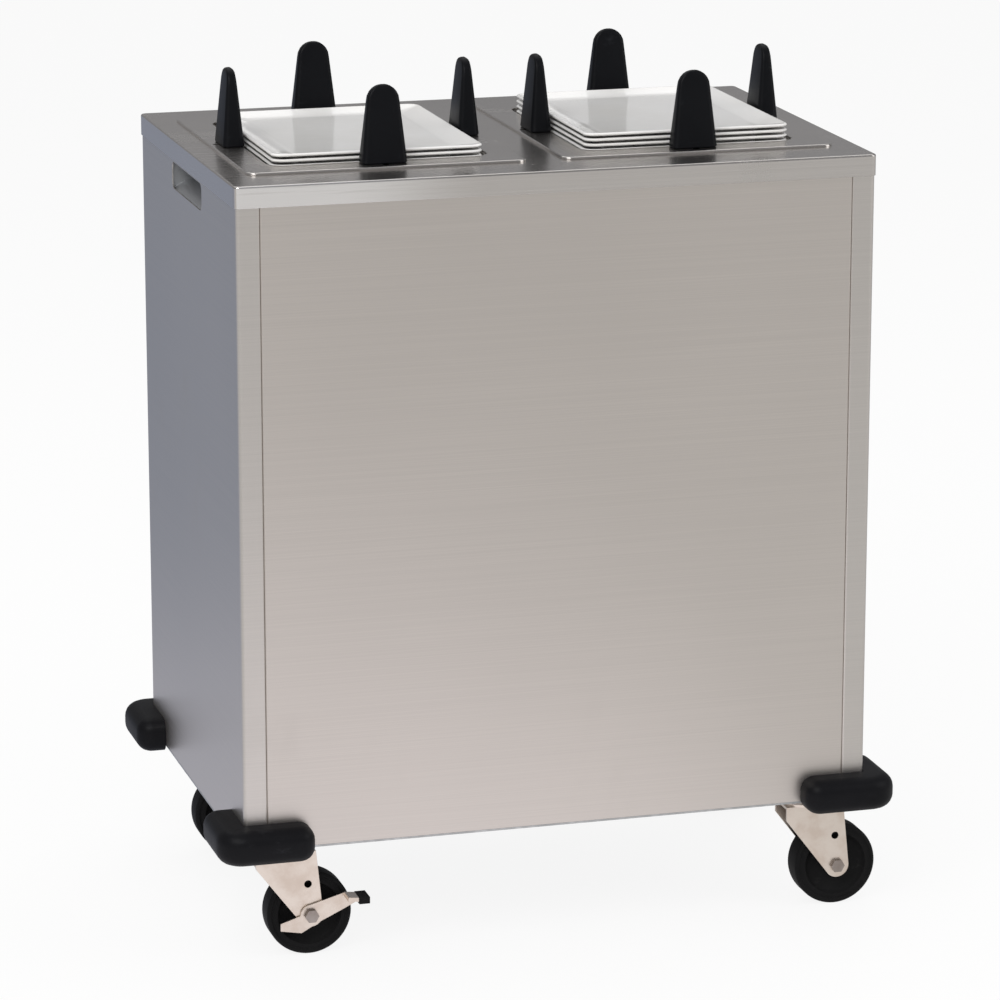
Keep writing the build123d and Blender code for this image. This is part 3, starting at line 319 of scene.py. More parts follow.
@dataclass(frozen=True)
class SkirtHighlightSheet(BrushedSheet):
    """Brushed sheet with a painted highlight, in streaks, on the left third of its front skirt."""

    # Near-white tone of the painted highlight on the skirt.
    painted_highlight: Rgb = (0.96, 0.94, 0.93)
    skirt_y: float = -0.256
    skirt_fade: float = 0.0006
    full_x: float = -0.27
    end_x: float = -0.08

    def with_painted_highlight(self, recipe: Recipe, colour: NodeSocket) -> NodeSocket:
        """Paints a highlight on the left third of the front skirt.

        Args:
            recipe: The sheet's recipe.
            colour: Its brushed colour.

        Returns:
            The colour with the painted highlight.
        """
        # Painted highlight: the base colour is lightened in streaks on the skirt's left third, fading
        # to the right.
        reach = recipe.axis("X").above(self.end_x, self.full_x)
        front = recipe.axis("Y").above(self.skirt_y + self.skirt_fade, self.skirt_y)
        highlight_streaks = recipe.noise((7.0, 7.0, 260.0), 3.0).above(0.0, 0.5)
        return recipe.mix(reach * front * highlight_streaks, colour, self.painted_highlight)


@dataclass(frozen=True)
class GalvanisedSheet(Finish):
    """Zinc-dipped sheet with its frosty spangle."""

    dulling: float = 0.82

    def mixed(self, recipe: Recipe) -> None:
        """Mixes galvanised steel."""
        spangle = recipe.cells(95.0)
        clouds = recipe.noise(14.0, 4.0)
        dull = toned(self.tone, self.dulling)
        recipe.set(
            Base_Color=recipe.mix(spangle.above(0.1, 0.8), self.tone, dull),
            Metallic=1.0,
            Roughness=(spangle * 0.16) + (clouds * 0.12) + 0.28,
        )
        recipe.relief(clouds, 0.15, 0.0002, 0.0006)


@dataclass(frozen=True)
class ZincPlated(Finish):
    """Bright zinc plating over pressed or turned steel, warmer where the passivation pooled."""

    warm: Rgb
    gloss: float = 0.3
    edge: float = 0.0007

    def mixed(self, recipe: Recipe) -> None:
        """Mixes zinc plating."""
        pools = recipe.noise(38.0, 4.0, 0.6)
        specks = recipe.noise(420.0, 2.0)
        recipe.set(
            Base_Color=recipe.mix(pools.above(0.35, 0.68), self.tone, self.warm),
            Metallic=1.0,
            Roughness=(pools * 0.18) + (specks * 0.08) + (self.gloss - 0.1),
        )
        recipe.relief((pools * 0.5) + (specks * 0.5), 0.18, 0.00012, self.edge)


@dataclass(frozen=True)
class Moulded(Finish):
    """Moulded rubber or plastic: a pebbled skin with paler dust and scuffs."""

    scuff: Rgb
    gloss: float
    pebble: float = 900.0
    relief_depth: float = 0.0001
    edge: float = 0.0006
    shine: float = 0.16

    def mixed(self, recipe: Recipe) -> None:
        """Mixes the moulding's skin."""
        skin = recipe.noise(self.pebble, 2.0, 0.6)
        marks = recipe.noise((46.0, 46.0, 90.0), 6.0, 0.68).above(0.58, 0.78)
        dust = recipe.noise(17.0, 4.0, 0.6)
        recipe.set(
            Base_Color=recipe.mix((marks * 0.6) + (dust * 0.22), self.tone, self.scuff),
            Roughness=(skin * 0.14) + (dust * 0.12) + (marks * 0.1) + (self.gloss - 0.13),
            Specular_IOR_Level=self.shine,
        )
        recipe.relief((skin * 0.7) + (marks * 0.3), 0.35, self.relief_depth, self.edge)


@dataclass(frozen=True)
class Glazed(Finish):
    """White glazed china with a faint warm cast, a soft wave and cutlery rubs."""

    warm: Rgb

    def mixed(self, recipe: Recipe) -> None:
        """Mixes the glaze."""
        cast = recipe.noise((9.0, 9.0, 60.0), 3.0)
        wave = recipe.noise(55.0, 2.0)
        rubs = recipe.noise((60.0, 340.0, 60.0), 5.0, 0.7).above(0.6, 0.72)
        recipe.set(
            Base_Color=recipe.mix(cast.above(0.3, 0.7), self.tone, self.warm),
            Roughness=(rubs * 0.14) + (wave * 0.06) + 0.1,
            Coat_Weight=0.35,
            Coat_Roughness=0.06,
            IOR=1.5,
        )
        recipe.relief(wave, 0.1, 0.0003, 0.0008)


@dataclass(frozen=True)
class BareMetal(Finish):
    """Plain drawn, turned or blued metal with draw marks and a little tarnish."""

    tarnish: Rgb
    gloss: float
    metallic: float = 1.0

    def mixed(self, recipe: Recipe) -> None:
        """Mixes bare metal."""
        marks = recipe.noise((260.0, 260.0, 900.0), 3.0)
        spots = recipe.noise(70.0, 5.0, 0.65)
        recipe.set(
            Base_Color=recipe.mix(spots.above(0.42, 0.72), self.tone, self.tarnish),
            Metallic=self.metallic,
            Roughness=(marks * 0.14) + (spots * 0.14) + (self.gloss - 0.12),
        )
        recipe.relief(marks, 0.2, 0.0001, 0.0004)


@dataclass(frozen=True)
class LampGlass(Finish):
    """Tinted lens of a pilot lamp, with a prism pattern under its face."""

    glow: Rgb

    def mixed(self, recipe: Recipe) -> None:
        """Mixes the lens."""
        prisms = recipe.cells(1400.0)
        recipe.set(
            Base_Color=recipe.mix(prisms.above(0.1, 0.7), self.tone, self.glow),
            Roughness=(prisms * 0.1) + 0.08,
            Coat_Weight=0.6,
            Coat_Roughness=0.05,
        )
        recipe.relief(prisms, 0.3, 0.0002)


@dataclass(frozen=True)
class Printed(Finish):
    """Screen-printed marks on the control plate, slightly uneven in their ink."""

    thin: Rgb

    def mixed(self, recipe: Recipe) -> None:
        """Mixes the ink."""
        cover = recipe.noise(700.0, 3.0)
        recipe.set(
            Base_Color=recipe.mix(cover.above(0.45, 0.75), self.tone, self.thin),
            Roughness=(cover * 0.2) + 0.4,
        )
        recipe.relief(cover, 0.2, 0.00004)


LEVEL_GRAIN = (2.5, 2.5, 900.0)
FRONT_SHEET = BrushedSheet("front_sheet", (0.715, 0.667, 0.624), LEVEL_GRAIN, 0.38)
END_SHEET = BrushedSheet("end_sheet", (0.703, 0.668, 0.633), LEVEL_GRAIN, 0.38)
# Darker than the front sheet: painted shade inside the hand-hold pockets.
SHADED_POCKET_SHEET = BrushedSheet("pocket_sheet_painted_shade", (0.47, 0.478, 0.49), LEVEL_GRAIN, 0.55)
# The deck sheet carries a painted highlight on the left third of its front skirt.
DECK_SHEET = SkirtHighlightSheet(
    "deck_sheet", (0.674, 0.643, 0.615), (2.5, 800.0, 800.0), 0.26, 0.03
)
CONTROL_SHEET = BrushedSheet(
    "control_sheet", (0.64, 0.628, 0.605), (2.5, 2.5, 1100.0), 0.3, 0.015
)
ZINC_SHEET = GalvanisedSheet("galvanised_sheet", (0.6, 0.61, 0.61))
CASTER_ZINC = ZincPlated("caster_zinc", (0.83, 0.745, 0.66), (0.74, 0.635, 0.545))
BOLT_ZINC = ZincPlated("bolt_zinc", (0.42, 0.38, 0.35), (0.33, 0.28, 0.25), 0.34, 0.0004)
# Dark brown zinc: painted shade on the caster plates and kingpins under the base pan.
SHADED_RACE_STEEL = ZincPlated("race_steel_painted_shade", (0.24, 0.205, 0.185), (0.15, 0.12, 0.105), 0.42, 0.0004)
TYRE_RUBBER = Moulded(
    "tyre_rubber", (0.005, 0.005, 0.0055), (0.034, 0.033, 0.032), 0.62, shine=0.1
)
BUMPER_RUBBER = Moulded(
    "bumper_rubber", (0.004, 0.004, 0.0052), (0.022, 0.022, 0.026), 0.44, shine=0.12
)
POST_NYLON = Moulded(
    "post_nylon", (0.0035, 0.0038, 0.005), (0.014, 0.015, 0.018), 0.38, 1400.0, shine=0.12
)
SLIDE_NYLON = Moulded(
    "slide_nylon", (0.7, 0.68, 0.6), (0.52, 0.5, 0.43), 0.45, shine=0.45
)
KNOB_PLASTIC = Moulded(
    "knob_plastic", (0.01, 0.01, 0.011), (0.04, 0.04, 0.042), 0.28, 2000.0, 0.00004, shine=0.4
)
SWITCH_PLASTIC = Moulded(
    "switch_plastic", (0.013, 0.013, 0.0135), (0.05, 0.05, 0.052), 0.36, 1800.0, shine=0.35
)
BAKELITE = Moulded(
    "bakelite", (0.03, 0.019, 0.014), (0.09, 0.07, 0.056), 0.38, 600.0, shine=0.4
)
INLET_PLASTIC = Moulded(
    "inlet_plastic", (0.015, 0.015, 0.0165), (0.055, 0.055, 0.058), 0.4, 1300.0
)
CHINA = Glazed("white_china", (0.87, 0.862, 0.85), (0.835, 0.82, 0.8))
SPRING_WIRE = BareMetal("spring_wire", (0.56, 0.555, 0.54), (0.4, 0.38, 0.35), 0.32)
HEATER_SHEATH = BareMetal("heater_sheath", (0.105, 0.092, 0.085), (0.19, 0.13, 0.095), 0.56, 0.8)
BRASS_BLADE = BareMetal("brass_blade", (0.72, 0.54, 0.25), (0.5, 0.35, 0.16), 0.28)
AMBER_LENS = LampGlass("amber_lens", (0.62, 0.075, 0.012), (0.9, 0.23, 0.04))
BLACK_INK = Printed("black_ink", (0.01, 0.01, 0.011), (0.05, 0.05, 0.052))
WHITE_INK = Printed("white_ink", (0.76, 0.76, 0.74), (0.6, 0.6, 0.58))


def leave() -> None:
    """Leaves edit mode."""
    if bpy.context.mode != "OBJECT":
        bpy.ops.object.mode_set(mode="OBJECT")


def idle() -> None:
    """Goes to object mode with nothing selected."""
    leave()
    bpy.ops.object.select_all(action="DESELECT")


def take(*pieces: Object) -> None:
    """Selects pieces and makes the first one active."""
    idle()
    for piece in pieces:
        piece.select_set(True)
    bpy.context.view_layer.objects.active = pieces[0]


def settle(piece: Object) -> Object:
    """Moves a piece's place, turn and size into its mesh."""
    take(piece)
    bpy.ops.object.transform_apply(location=True, rotation=True, scale=True)
    return piece


def block(size: Place, centre: Place) -> Object:
    """Adds a block of the given lengths round its centre."""
    idle()
    bpy.ops.mesh.primitive_cube_add(size=1.0, location=centre)
    bpy.context.object.scale = size
    return settle(bpy.context.object)


def panel(size: tuple[float, float], centre: Place) -> Object:
    """Adds a flat, level sheet of the given lengths round its centre; it faces up."""
    idle()
    bpy.ops.mesh.primitive_plane_add(size=1.0, location=centre)
    bpy.context.object.scale = (*size, 1.0)
    return settle(bpy.context.object)


def drum(
    radius: float, length: float, centre: Place, axis: Place = (0.0, 0.0, 1.0), sides: int = 32
) -> Object:
    """Adds a cylinder.

    Args:
        radius: Its radius.
        length: Its length.
        centre: Place of its centre.
        axis: Direction of its axis.
        sides: Number of flats round it.

    Returns:
        The new cylinder.
    """
    idle()
    turn = Vector((0.0, 0.0, 1.0)).rotation_difference(Vector(axis)).to_euler()
    bpy.ops.mesh.primitive_cylinder_add(
        vertices=sides, radius=radius, depth=length, location=centre, rotation=turn
    )
    return settle(bpy.context.object)


def edit(piece: Object, kind: str) -> None:
    """Opens a piece in edit mode with nothing selected.

    Args:
        piece: The piece.
        kind: VERT, EDGE or FACE.
    """
    if bpy.context.mode != "EDIT_MESH" or bpy.context.object is not piece:
        take(piece)
        bpy.ops.object.mode_set(mode="EDIT")
    bpy.ops.mesh.select_mode(type=kind)
    bpy.ops.mesh.select_all(action="DESELECT")


def pick(piece: Object, kind: str, test: Callable[[Vector, Vector], bool]) -> None:
    """Selects the faces or the edges that pass a test.

    Args:
        piece: The piece, opened or not.
        kind: FACE or EDGE.
        test: Takes a face's centre and normal, or an edge's two ends.
    """
    edit(piece, kind)
    shape = bmesh.from_edit_mesh(piece.data)
    if kind == "FACE":
        shape.normal_update()
        for face in shape.faces:
            face.select_set(test(face.calc_center_median(), face.normal))
    else:
        for edge in shape.edges:
            edge.select_set(test(edge.verts[0].co, edge.verts[1].co))
    bmesh.update_edit_mesh(piece.data)


def raise_face(step: Place) -> None:
    """Extrudes the selected faces by a step."""
    bpy.ops.mesh.extrude_region_move(TRANSFORM_OT_translate={"value": step})


def resize(factor: Place, centre: Place) -> None:
    """Scales the selection about a point."""
    bpy.ops.transform.resize(value=factor, center_override=centre)


def inset(width: float, depth: float = 0.0) -> None:
    """Insets the selected faces, and sinks or raises them."""
    bpy.ops.mesh.inset(thickness=width, depth=depth, use_even_offset=True)


def round_edges(width: float, segments: int, corners: bool = False) -> None:
    """Bevels the selected edges, or the selected corners of a flat sheet."""
    bpy.ops.mesh.bevel(
        offset=width,
        offset_type="OFFSET",
        segments=segments,
        profile=0.5,
        affect="VERTICES" if corners else "EDGES",
        clamp_overlap=True,
    )


def rings(sections: Sequence[Place], corner: float, segments: int) -> Object:
    """Raises a rounded rectangle through level sections, from the first to the last.

    Args:
        sections: Height, length along X and length along Y of each section.
        corner: Corner radius at the first section.
        segments: Number of segments in each corner.

    Returns:
        The closed piece, centred on the origin.
    """
    z, across, along = sections[0]
    piece = panel((across, along), (0.0, 0.0, z))
    edit(piece, "VERT")
    bpy.ops.mesh.select_all(action="SELECT")
    round_edges(corner, segments, corners=True)
    pick(piece, "FACE", lambda centre, normal: True)
    for next_z, next_across, next_along in sections[1:]:
        raise_face((0.0, 0.0, next_z - z))
        resize((next_across / across, next_along / along, 1.0), (0.0, 0.0, next_z))
        z, across, along = next_z, next_across, next_along
    bpy.ops.mesh.select_mode(type="EDGE")
    bpy.ops.mesh.select_all(action="DESELECT")
    bpy.ops.mesh.select_non_manifold()
    bpy.ops.mesh.edge_face_add()
    leave()
    return piece


def soften(piece: Object, width: float, segments: int = 2, above: float = 30.0) -> None:
    """Rounds the sharp edges of a whole piece.

    Args:
        piece: The piece.
        width: Width of the rounding.
        segments: Number of its segments.
        above: Edges sharper than this many degrees are rounded.
    """
    take(piece)
    modifier = piece.modifiers.new("soften", "BEVEL")
    modifier.width = width
    modifier.segments = segments
    modifier.limit_method = "ANGLE"
    modifier.angle_limit = math.radians(above)
    bpy.ops.object.modifier_apply(modifier=modifier.name)


def tidy(piece: Object, angle: float = 40.0) -> Object:
    """Merges doubles, turns all faces outwards and shades the piece smooth by angle.

    Args:
        piece: The piece.
        angle: Edges sharper than this many degrees stay crisp.

    Returns:
        The same piece.
    """
    edit(piece, "VERT")
    bpy.ops.mesh.select_all(action="SELECT")
    bpy.ops.mesh.remove_doubles(threshold=TINY / 2)
    bpy.ops.mesh.normals_make_consistent(inside=False)
    take(piece)
    bpy.ops.object.shade_smooth_by_angle(angle=math.radians(angle))
    return piece


def join(pieces: Sequence[Object]) -> Object:
    """Joins pieces into the first one."""
    take(*pieces)
    bpy.ops.object.join()
    return bpy.context.object


def copied(piece: Object, matrix: Matrix) -> Object:
    """Copies a piece to another place, which goes into the copy's own mesh."""
    twin = piece.copy()
    twin.data = piece.data.copy()
    bpy.context.collection.objects.link(twin)
    twin.matrix_world = matrix
    return settle(twin)


def coat(piece: Object, finish: Finish) -> None:
    """Makes a finish the only material of a piece."""
    piece.data.materials.clear()
    piece.data.materials.append(finish.material())


def finish_piece(piece: Object, name: str, finish: Finish, body: str) -> None:
    """Names a finished piece, gives it its material and sets what it moves with.

    Args:
        piece: The piece.
        name: Its name.
        finish: Its finish.
        body: The body it rides on.
    """
    piece.name = name
    piece.data.name = name
    coat(piece, finish)
    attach(piece, body)
    LOG.info("%s: %d faces, rides on %s", name, len(piece.data.polygons), body)


@dataclass
class Sheetwork:
    """The cabinet's own solids: they keep their shape and get their finishes."""

    finishes: tuple[tuple[Finish, tuple[str, ...]], ...] = (
        (FRONT_SHEET, ("front_panel", "rear_panel")),
        (END_SHEET, ("left_end_panel", "right_end_panel")),
        (SHADED_POCKET_SHEET, ("hand_hold_pockets",)),
        (DECK_SHEET, ("deck", "well_flange_left", "well_flange_right")),
        (CONTROL_SHEET, ("control_plate",)),
        (ZINC_SHEET, ("base_pan", "caster_channels", "spring_brackets")),
        (ZINC_SHEET, ("well_sleeve_left", "well_sleeve_right", "carrier_left", "carrier_right")),
        (SLIDE_NYLON, ("carrier_slides_left", "carrier_slides_right")),
        (HEATER_SHEATH, ("heater_left", "heater_right")),
        (BOLT_ZINC, ("caster_bolts", "panel_screws")),
        (SHADED_RACE_STEEL, ("caster_plates", "kingpins")),
        (BAKELITE, ("thermostats",)),
        (SWITCH_PLASTIC, ("switch_bodies", "switch_rocker_left", "switch_rocker_right")),
        (KNOB_PLASTIC, ("thermostat_knob_left", "thermostat_knob_right")),
        (AMBER_LENS, ("pilot_lamps",)),
        (INLET_PLASTIC, ("power_inlet",)),
        (BRASS_BLADE, ("inlet_blades",)),
        (SPRING_WIRE, ("carrier_springs_left", "carrier_springs_right")),
        (CHINA, ("plates_left", "plates_right")),
        (BUMPER_RUBBER, ("corner_bumpers",)),
    )

    def dress(self) -> None:
        """Gives every cabinet node its finish."""
        for finish, nodes in self.finishes:
            for node in nodes:
                dress_node(node, finish)


def dress_node(node: str, finish: Finish) -> None:
    """Puts a finish on one CAD node."""
    coat(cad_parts[node], finish)
    LOG.info("%s: dressed", node)


class Repeated:
    """Base of what is modelled once as a pattern and copied to its places."""

    def build(self) -> Object:
        """Models the pattern; each kind has its own way."""
        raise NotImplementedError

    def dress(self, pattern: Object) -> None:
        """Copies the pattern to its places; each kind has its own way.

        Args:
            pattern: The modelled pattern.
        """
        raise NotImplementedError

    def make(self) -> None:
        """Models the pattern, copies it to its places and throws it away."""
        pattern = self.build()
        self.dress(pattern)
        bpy.data.objects.remove(pattern, do_unlink=True)


@dataclass
class GuidePosts(Repeated):
    """Eight tapered nylon tongues round the wells, each on its stud, washer and nut."""

    seat_gap: float = 0.0003
    top_width: float = 0.038
    top_thickness: float = 0.01
    corner: float = 0.0062
    corner_segments: int = 5
    foot_round: float = 0.0012
    level_shares: tuple[float, ...] = (0.3, 0.65, 1.0)
    tip_angles: tuple[float, ...] = (18.0, 35.0, 50.0, 63.0, 74.0, 83.0)
    stud_radius: float = 0.003
    stud_out: float = 0.002
    washer_radius: float = 0.007
    washer_top: float = -0.0051
    washer_sheet: float = 0.0015
    nut_radius: float = 0.0058
    nut_height: float = 0.005
    stud_end: float = -0.0156
    stud_sides: int = 24
    nut_round: float = 0.0004
    crisp: float = 35.0

    def __post_init__(self) -> None:
        """Takes the tongue's outer sizes from the frame."""
        low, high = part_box("guide_post_left_front")
        self.seat_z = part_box("well_flange_left")[1].z + self.seat_gap
        self.base_width = high.x - low.x
        self.base_thickness = high.y - low.y
        self.height = high.z - self.seat_z

    def sections(self) -> list[Place]:
        """Height, width and thickness at each level up the tongue."""
        shoulder = self.height - self.top_width / 2
        tip = self.height - self.top_thickness / 2
        foot_width = self.base_width - 2 * self.foot_round
        levels = [self.foot_round, *(share * shoulder for share in self.level_shares)]
        rises = (math.sin(math.radians(angle)) for angle in self.tip_angles)
        levels += [shoulder + self.top_width / 2 * rise for rise in rises]
        found = [(0.0, foot_width, self.base_thickness - 2 * self.foot_round)]
        for z in levels:
            width = self.base_width + (self.top_width - self.base_width) * z / shoulder
            if z > shoulder:
                width = 2 * math.sqrt((self.top_width / 2) ** 2 - (z - shoulder) ** 2)
            thickness = self.base_thickness + (self.top_thickness - self.base_thickness) * z / tip
            if z > tip:
                thickness = 2 * math.sqrt((self.top_thickness / 2) ** 2 - (z - tip) ** 2)
            found.append((z, width, thickness))
        return found

    def build(self) -> Object:
        """Models one post at the origin, its outer face towards -Y.

        Returns:
            The pattern of the eight posts.
        """
        tongue = rings(self.sections(), self.corner, self.corner_segments)
        y = -self.stud_out
        stud_z = self.stud_end / 2
        stud = drum(self.stud_radius, -self.stud_end, (0.0, y, stud_z), sides=self.stud_sides)
        washer_z = self.washer_top - self.washer_sheet / 2
        washer = drum(self.washer_radius, self.washer_sheet, (0.0, y, washer_z))
        nut_z = self.washer_top - self.washer_sheet - self.nut_height / 2
        nut = drum(self.nut_radius, self.nut_height, (0.0, y, nut_z), sides=6)
        for part in (washer, nut):
            soften(part, self.nut_round)
        return tidy(join([tongue, stud, washer, nut]), self.crisp)

    def dress(self, pattern: Object) -> None:
        """Copies the post to its eight places."""
        for well in Well:
            for side in Side:
                node = f"guide_post_{well.suffix}_{side.suffix}"
                low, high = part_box(node)
                at = Vector(((low.x + high.x) / 2, (low.y + high.y) / 2, self.seat_z))
                turn = Matrix.Rotation(math.radians(side.value), 4, "Z")
                piece = copied(pattern, Matrix.Translation(at) @ turn)
                finish_piece(piece, f"{node}_tongue", POST_NYLON, node)
                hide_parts(node)


@dataclass
class PlateStacks(Repeated):
    """Oblong china plates with a flared, beaded rim and a foot ring, nested on the carriers."""

    rim_width: float = 0.03
    rim_rise: float = 0.0058
    wall: float = 0.0042
    bead: float = 0.003
    edge_wall: float = 0.0036
    foot_height: float = 0.002
    foot_width: float = 0.005
    pitch: float = 0.00625
    corner: float = 0.0095
    corner_segments: int = 8
    crisp: float = 48.0

    def __post_init__(self) -> None:
        """Takes the plates' outer sizes from the frame."""
        low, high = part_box("plates_left")
        self.across = high.x - low.x
        self.along = high.y - low.y

    def sections(self) -> list[Place]:
        """Height and both lengths at each level, from under the floor over the rim to the well."""
        floor = self.foot_height + self.wall
        rim_top = self.foot_height + self.rim_rise + self.wall
        rim_under = rim_top - self.edge_wall
        foot = self.rim_width + self.foot_width
        profile = (
            (foot + 0.0004, self.foot_height),
            (foot, 0.0004),
            (foot - 0.0006, 0.0),
            (self.rim_width + 0.0006, 0.0),
            (self.rim_width, 0.0004),
            (self.rim_width - 0.0003, self.foot_height),
            (self.bead + 0.0006, rim_under - 0.0001),
            (0.001, rim_under + 0.0003),
            (0.0003, rim_under + 0.0011),
            (0.0, rim_top - self.edge_wall / 2),
            (0.0003, rim_top - 0.0011),
            (0.001, rim_top - 0.0003),
            (0.002, rim_top),
            (self.bead, rim_top - 0.0002),
            (self.bead + 0.0011, rim_top - 0.001),
            (self.rim_width - 0.007, floor + 0.0012),
            (self.rim_width - 0.003, floor + 0.0003),
            (self.rim_width + 0.0015, floor),
        )
        return [(z, self.across - 2 * inset, self.along - 2 * inset) for inset, z in profile]

    def build(self) -> Object:
        """Models one plate at the origin with its foot on z = 0."""
        plate = rings(self.sections(), self.corner, self.corner_segments)
        return tidy(plate, self.crisp)

    def dress(self, pattern: Object) -> None:
        """Stacks copies of the plate on each carrier."""
        plate_height = self.foot_height + self.rim_rise + self.wall
        for well in Well:
            low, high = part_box(f"plates_{well.suffix}")
            count = 1 + round((high.z - low.z - plate_height) / self.pitch)
            middle = (low + high) / 2
            levels = [low.z + index * self.pitch for index in range(count)]
            piece = join(
                [copied(pattern, Matrix.Translation((middle.x, middle.y, z))) for z in levels]
            )
            name = f"plate_stack_{well.suffix}"
            finish_piece(piece, name, CHINA, f"carrier_{well.suffix}")
            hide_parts(f"plates_{well.suffix}")


@dataclass
class Bumpers(Repeated):
    """Four moulded rubber angles round the lower corners, soft at every outer edge."""

    proud: float = 0.034
    arm: float = 0.08
    corner: float = 0.03
    end: float = 0.019
    soft: float = 0.0165
    corner_segments: int = 8
    end_segments: int = 6
    crisp: float = 38.0

    def __post_init__(self) -> None:
        """Takes the bumpers' places from the frame."""
        low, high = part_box("corner_bumpers")
        self.face_x = high.x - self.proud
        self.face_y = high.y - self.proud
        self.bottom = low.z
        self.height = high.z - low.z

    def rim(self, start: Vector, end: Vector) -> bool:
        """Tells the level edges round the outer faces, which are softened.

        Args:
            start: One end of the edge.
            end: The other end.

        Returns:
            Whether it is an outer level edge.
        """
        if abs(start.z - end.z) > TINY:
            return False
        on_side = abs(start.x) < TINY and abs(end.x) < TINY
        on_front = abs(start.y) < TINY and abs(end.y) < TINY
        middle = (start + end) / 2
        return not on_side and not on_front and max(middle.x, middle.y) > TINY

    def build(self) -> Object:
        """Models one bumper for a corner at the origin whose faces look to +X and +Y.

        Returns:
            The pattern of the four bumpers.
        """
        half = self.proud / 2
        reach = -self.arm + TINY
        angle = block((self.proud, self.proud, self.height), (half, half, self.height / 2))
        pick(angle, "FACE", lambda centre, normal: normal.x < -FACING)
        raise_face((-self.arm, 0.0, 0.0))
        pick(angle, "FACE", lambda centre, normal: normal.y < -FACING and centre.x > 0.0)
        raise_face((0.0, -self.arm, 0.0))
        pick(
            angle,
            "EDGE",
            lambda a, b: abs(a.z - b.z) > TINY and min(a.x, b.x) > half and min(a.y, b.y) > half,
        )
        round_edges(self.corner, self.corner_segments)
        pick(
            angle,
            "EDGE",
            lambda a, b: abs(a.z - b.z) > TINY
            and ((a.x < reach and a.y > half) or (a.y < reach and a.x > half)),
        )
        round_edges(self.end, self.end_segments)
        pick(angle, "EDGE", self.rim)
        round_edges(self.soft, self.end_segments)
        return tidy(angle, self.crisp)

    def dress(self, pattern: Object) -> None:
        """Turns copies of the bumper to the four corners and joins them."""
        turns = {
            Corner.REAR_RIGHT: 0.0,
            Corner.REAR_LEFT: 90.0,
            Corner.FRONT_LEFT: 180.0,
            Corner.FRONT_RIGHT: 270.0,
        }
        copies = []
        for corner, turn in turns.items():
            sign_x, sign_y = corner.value
            at = Matrix.Translation((sign_x * self.face_x, sign_y * self.face_y, self.bottom))
            copies.append(copied(pattern, at @ Matrix.Rotation(math.radians(turn), 4, "Z")))
        piece = join(copies)
        finish_piece(piece, "bumper_angles", BUMPER_RUBBER, "cabinet")
        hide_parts("corner_bumpers")


@dataclass
class Wheels(Repeated):
    """Solid rubber tyres on a moulded core with a recessed web and a proud hub."""

    width: float = 0.032
    sides: int = 64
    tread_round: float = 0.0075
    tread_segments: int = 5
    face_steps: tuple[tuple[float, float], ...] = (
        (0.0045, 0.0),
        (0.0012, -0.001),
        (0.002, 0.0),
        (0.0012, 0.001),
        (0.0036, 0.0),
        (0.0022, -0.003),
        (0.003, -0.003),
        (0.012, -0.0008),
    )
    hub_radius: float = 0.015
    hub_fillet: float = 0.0015
    hub_rim: float = 0.0012
    bore: float = 0.00621
    edge_round: float = 0.0005
    round_above: float = 35.0
    crisp: float = 45.0

    def __post_init__(self) -> None:
        """Takes the wheel's radius and hub width from the frame."""
        low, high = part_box("wheel_front_left")
        self.radius = (high.z - low.z) / 2
        self.hub_width = high.y - low.y

    def build(self) -> Object:
        """Models one wheel at the origin, its axle along Y.

        Returns:
            The pattern of the four wheels.
        """
        half = self.width / 2
        wheel = drum(self.radius, self.width, (0.0, 0.0, 0.0), (0.0, 1.0, 0.0), self.sides)
        web = self.radius - sum(width for width, sink in self.face_steps)
        level = half + sum(sink for width, sink in self.face_steps)
        for sign in (-1.0, 1.0):
            for width, sink in self.face_steps:
                pick(
                    wheel,
                    "FACE",
                    lambda centre, normal, s=sign: normal.y * s > FACING
                    and math.hypot(centre.x, centre.z) < TINY,
                )
                inset(width, sink)
            inset(web - self.hub_radius - self.hub_fillet)
            inset(self.hub_fillet)
            raise_face((0.0, sign * (self.hub_width / 2 - level), 0.0))
            inset(self.hub_rim)
            inset(self.hub_radius - self.hub_rim - self.bore)
            bpy.ops.mesh.delete(type="FACE")
        edit(wheel, "EDGE")
        bpy.ops.mesh.select_non_manifold()
        bpy.ops.mesh.bridge_edge_loops()
        pick(wheel, "EDGE", self.tread_edge)
        round_edges(self.tread_round, self.tread_segments)
        soften(wheel, self.edge_round, above=self.round_above)
        return tidy(wheel, self.crisp)

    def tread_edge(self, start: Vector, end: Vector) -> bool:
        """Tells the edges round the outside of the tread.

        Args:
            start: One end of the edge.
            end: The other end.

        Returns:
            Whether it is an edge of the tread's rim.
        """
        inner = min(math.hypot(start.x, start.z), math.hypot(end.x, end.z))
        level = abs(abs(start.y) - self.width / 2) < TINY and abs(start.y - end.y) < TINY
        return level and inner > self.radius - TINY

    def dress(self, pattern: Object) -> None:
        """Copies the wheel to the four casters."""
        for corner in Corner:
            body = f"wheel_{corner.suffix}"
            low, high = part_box(body)
            piece = copied(pattern, Matrix.Translation((low + high) / 2))
            finish_piece(piece, f"tyre_{corner.suffix}", TYRE_RUBBER, body)
            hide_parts(body)


